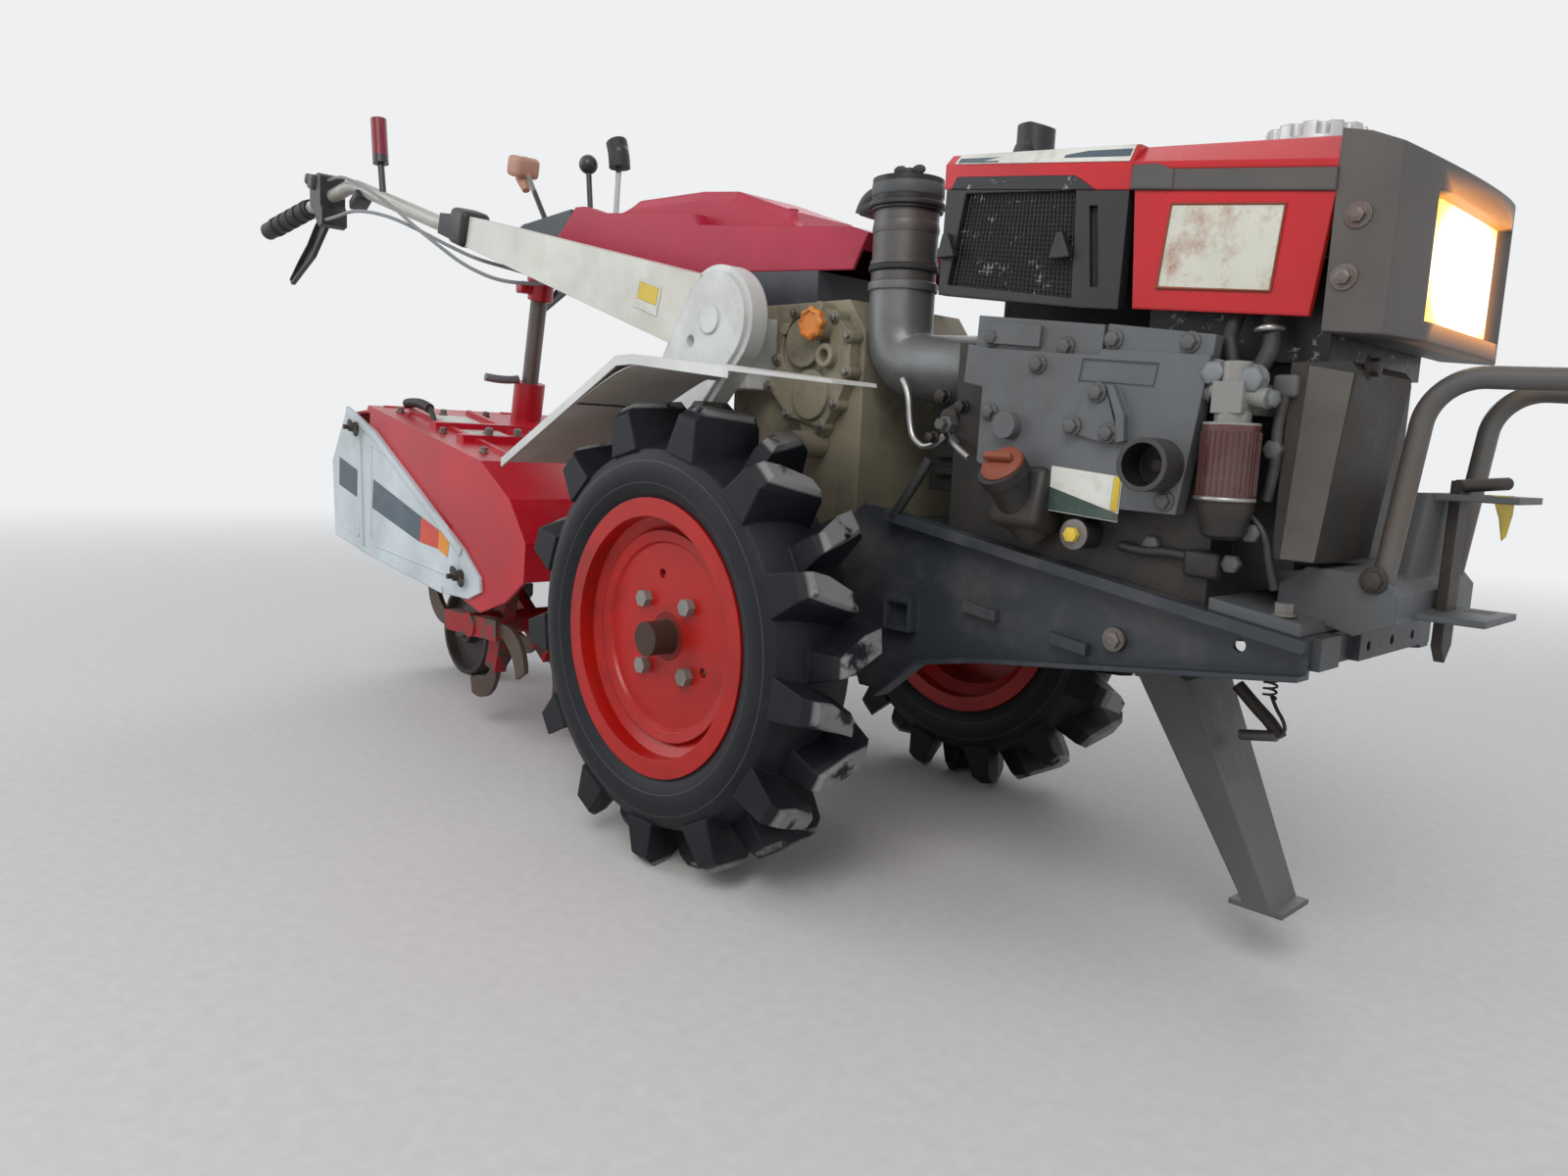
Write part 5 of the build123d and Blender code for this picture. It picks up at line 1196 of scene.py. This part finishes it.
turned("elbow_collar", [(43, 0), (43.5, 2), (43.5, 9), (41, 11)], (*CLEANER, 722), UP, "elbow_grey")
mouth = [(198, 70, 880), (198, 70, 902), (202, 70, 914), (213, 70, 919)]
hose("exhaust_hood", mouth, 24.5, "black_mould", sides=6)
# painted shade: a dark block fills the space under the hood behind the grille
lump("hood_shadow", (268, -58, 652), (560, 60, 800), "shade_and_parts_black", 10)
turned("knob_top", [(9, 0), (10, 3), (10, 9), (7, 11)], (443, -90, 838), UP, "black_mould")
print("air cleaner dressed")

# %% [markdown]
# The stand is held down by a latch pin under a coil spring. The spring is a helix, and its points
# are worked out turn by turn and given to the wire tree. The pin rides on the stand. At the hitch a
# strap hangs from the pin's handle, and bolts hold the bracket.

# %% stand latch and hitch strap
TURNS, PER_TURN, SPRING_LOW, SPRING_TOP = 9, 12, 290, 348
rise = (SPRING_TOP - SPRING_LOW) / (TURNS * PER_TURN)
spring = [at(*around(598, 0, 6.5, k, PER_TURN), SPRING_LOW + rise * k) for k in range(TURNS * PER_TURN + 1)]
wires("latch_spring", [spring], 1.3, "black_mould", sides=5)
hook = [(598, 6, 291), (604, 4, 280), (616, 0, 268), (618, 0, 256), (608, 0, 250)]
hose("latch_hook", hook, 2, "tail_brown")
arm = [(560, 8, 296), (582, 8, 276), (602, 6, 262), (612, 4, 250)]
hose("latch_arm", arm, 7, "tail_brown")
hose("latch_pin", [(572, 0, 245), (590, 0, 248), (610, 0, 252)], 6, "hoop_steel",
     body="stand_leg")
strap = ((782, -22, 515), (792, 8, 515), (792, 8, 498), (790, 4, 478), (788, 0, 474), (786, -8, 494))
slab("hitch_strap", [at(*place) for place in strap], 0.0015, "label_yellow")
bracket_bolts = [(722, -112, 436, RIGHT, 9, 8), (700, -120, 620, (1, 0, 0), 8, 9)]
bolt_heads("bracket_bolts", bracket_bolts, "tail_brown")
print("spring turns", TURNS)

# %% [markdown]
# From below, each fender shows one soft curve. Its sheet is bent round a liner here, a strip through
# a short list of places that rounds the knee, shaded smoothly. A thin dark brown wire runs across it.

# %% fender liners
liner_line = [(-332, 486.5), (-270, 516), (-215, 541.5), (-165, 563.5), (-125, 581), (-95, 594),
              (-68, 604.5), (-42, 612), (-14, 616.5), (16, 617.8), (50, 616), (100, 611)]
crease_line = ((-152, 372, 568), (-152, 322, 568), (-154, 262, 567))
for side, end in SIDES:
    y0, y1 = sorted((side * 374.5, side * 238))
    bent_strip(f"fender_liner_{end}", liner_line, y0, y1, 1.2, "fender_white")
    crease = [at(x, side * y, z) for x, y, z in crease_line]
    wires(f"fender_crease_{end}", [crease], 1.8, "tail_brown", sides=6)
print("liner points", len(liner_line))

# %% [markdown]
# The handlebar ends carry a switch block and a cast bracket for the clutch lever. Cast pieces are
# never quite boxy, so each is a box with generously rounded edges. Flat blades widen the levers,
# collars close the beams' ends, and two shift levers get their real knobs.

# %% handlebar fittings
lump("switch_block", (-1216, -320, 972), (-1166, -276, 1000), "black_mould", 6, (0, 12, -10))
lump("switch_button", (-1226, -318, 984), (-1208, -296, 1004), "black_mould", 5, (0, 30, 0))
lump("cable_bracket", (-1092, -288, 934), (-1036, -256, 952), "black_mould", 4, (0, -14, -10))
blade_line = [(-1176, 934, 8), (-1212, 904, 12), (-1246, 874, 13), (-1300, 845, 12), (-1364, 814, 7)]
for side, end in SIDES:
    y = side * 292
    for i, (front, rear) in enumerate(zip(blade_line, blade_line[1:])):
        corners = ((front, -1), (front, 1), (rear, 1), (rear, -1))
        ring = [at(x, y + way * half, z) for (x, z, half), way in corners]
        slab(f"lever_blade_{end}_{i}", ring, 0.002, "black_mould", round_by=0.0008)
    y0, y1 = sorted((side * 196, side * 248))
    lump(f"beam_collar_{end}", (-764, y0, 836), (-704, y1, 896), "black_mould", 10,
         (0, 15.6, side * 5))
lump("salmon_knob", (-882, -72, 1000), (-842, -20, 1038), "salmon_block", 9, (4, 14, 8))
turned("salmon_neck", [(7, 0), (12, 22), (13, 30)], (-852, -45, 976), (-0.5, 0, 0.86), "salmon_block")
speed_knob = [(-671, 40, 1008), (-673, 40, 1032), (-683, 40, 1054)]
hose("speed_knob", speed_knob, 19.5, "grip_rubber", sides=5)
print("blade fields", 2 * (len(blade_line) - 1))

# %% [markdown]
# Behind the wheel, the column's clamp has a grey lever and the tiller a curved black grip.

# %% tiller controls
hose("depth_lever", [(-905, -26, 628), (-908, -52, 622), (-914, -92, 628)], 8, "pale_casting")
clamp = [(17, 0), (24, 2), (24, 34), (28, 36), (28, 46), (17, 48)]
turned("column_clamp", clamp, (-872.5, 0, 778), (0.183, 0, 0.983), "tiller_red")
lump("clamp_ear", (-886, -46, 790), (-862, -16, 812), "tiller_red", 4)
grip = [(-850, -236, 560), (-872, -237, 567), (-905, -239, 571), (-935, -240, 568)]
hose("crank_grip", grip, 9, "grip_rubber")
hose("crank_arm", [(-832, -236, 536), (-838, -236, 552), (-852, -236, 561)], 5, "black_mould")
print("tiller controls set")
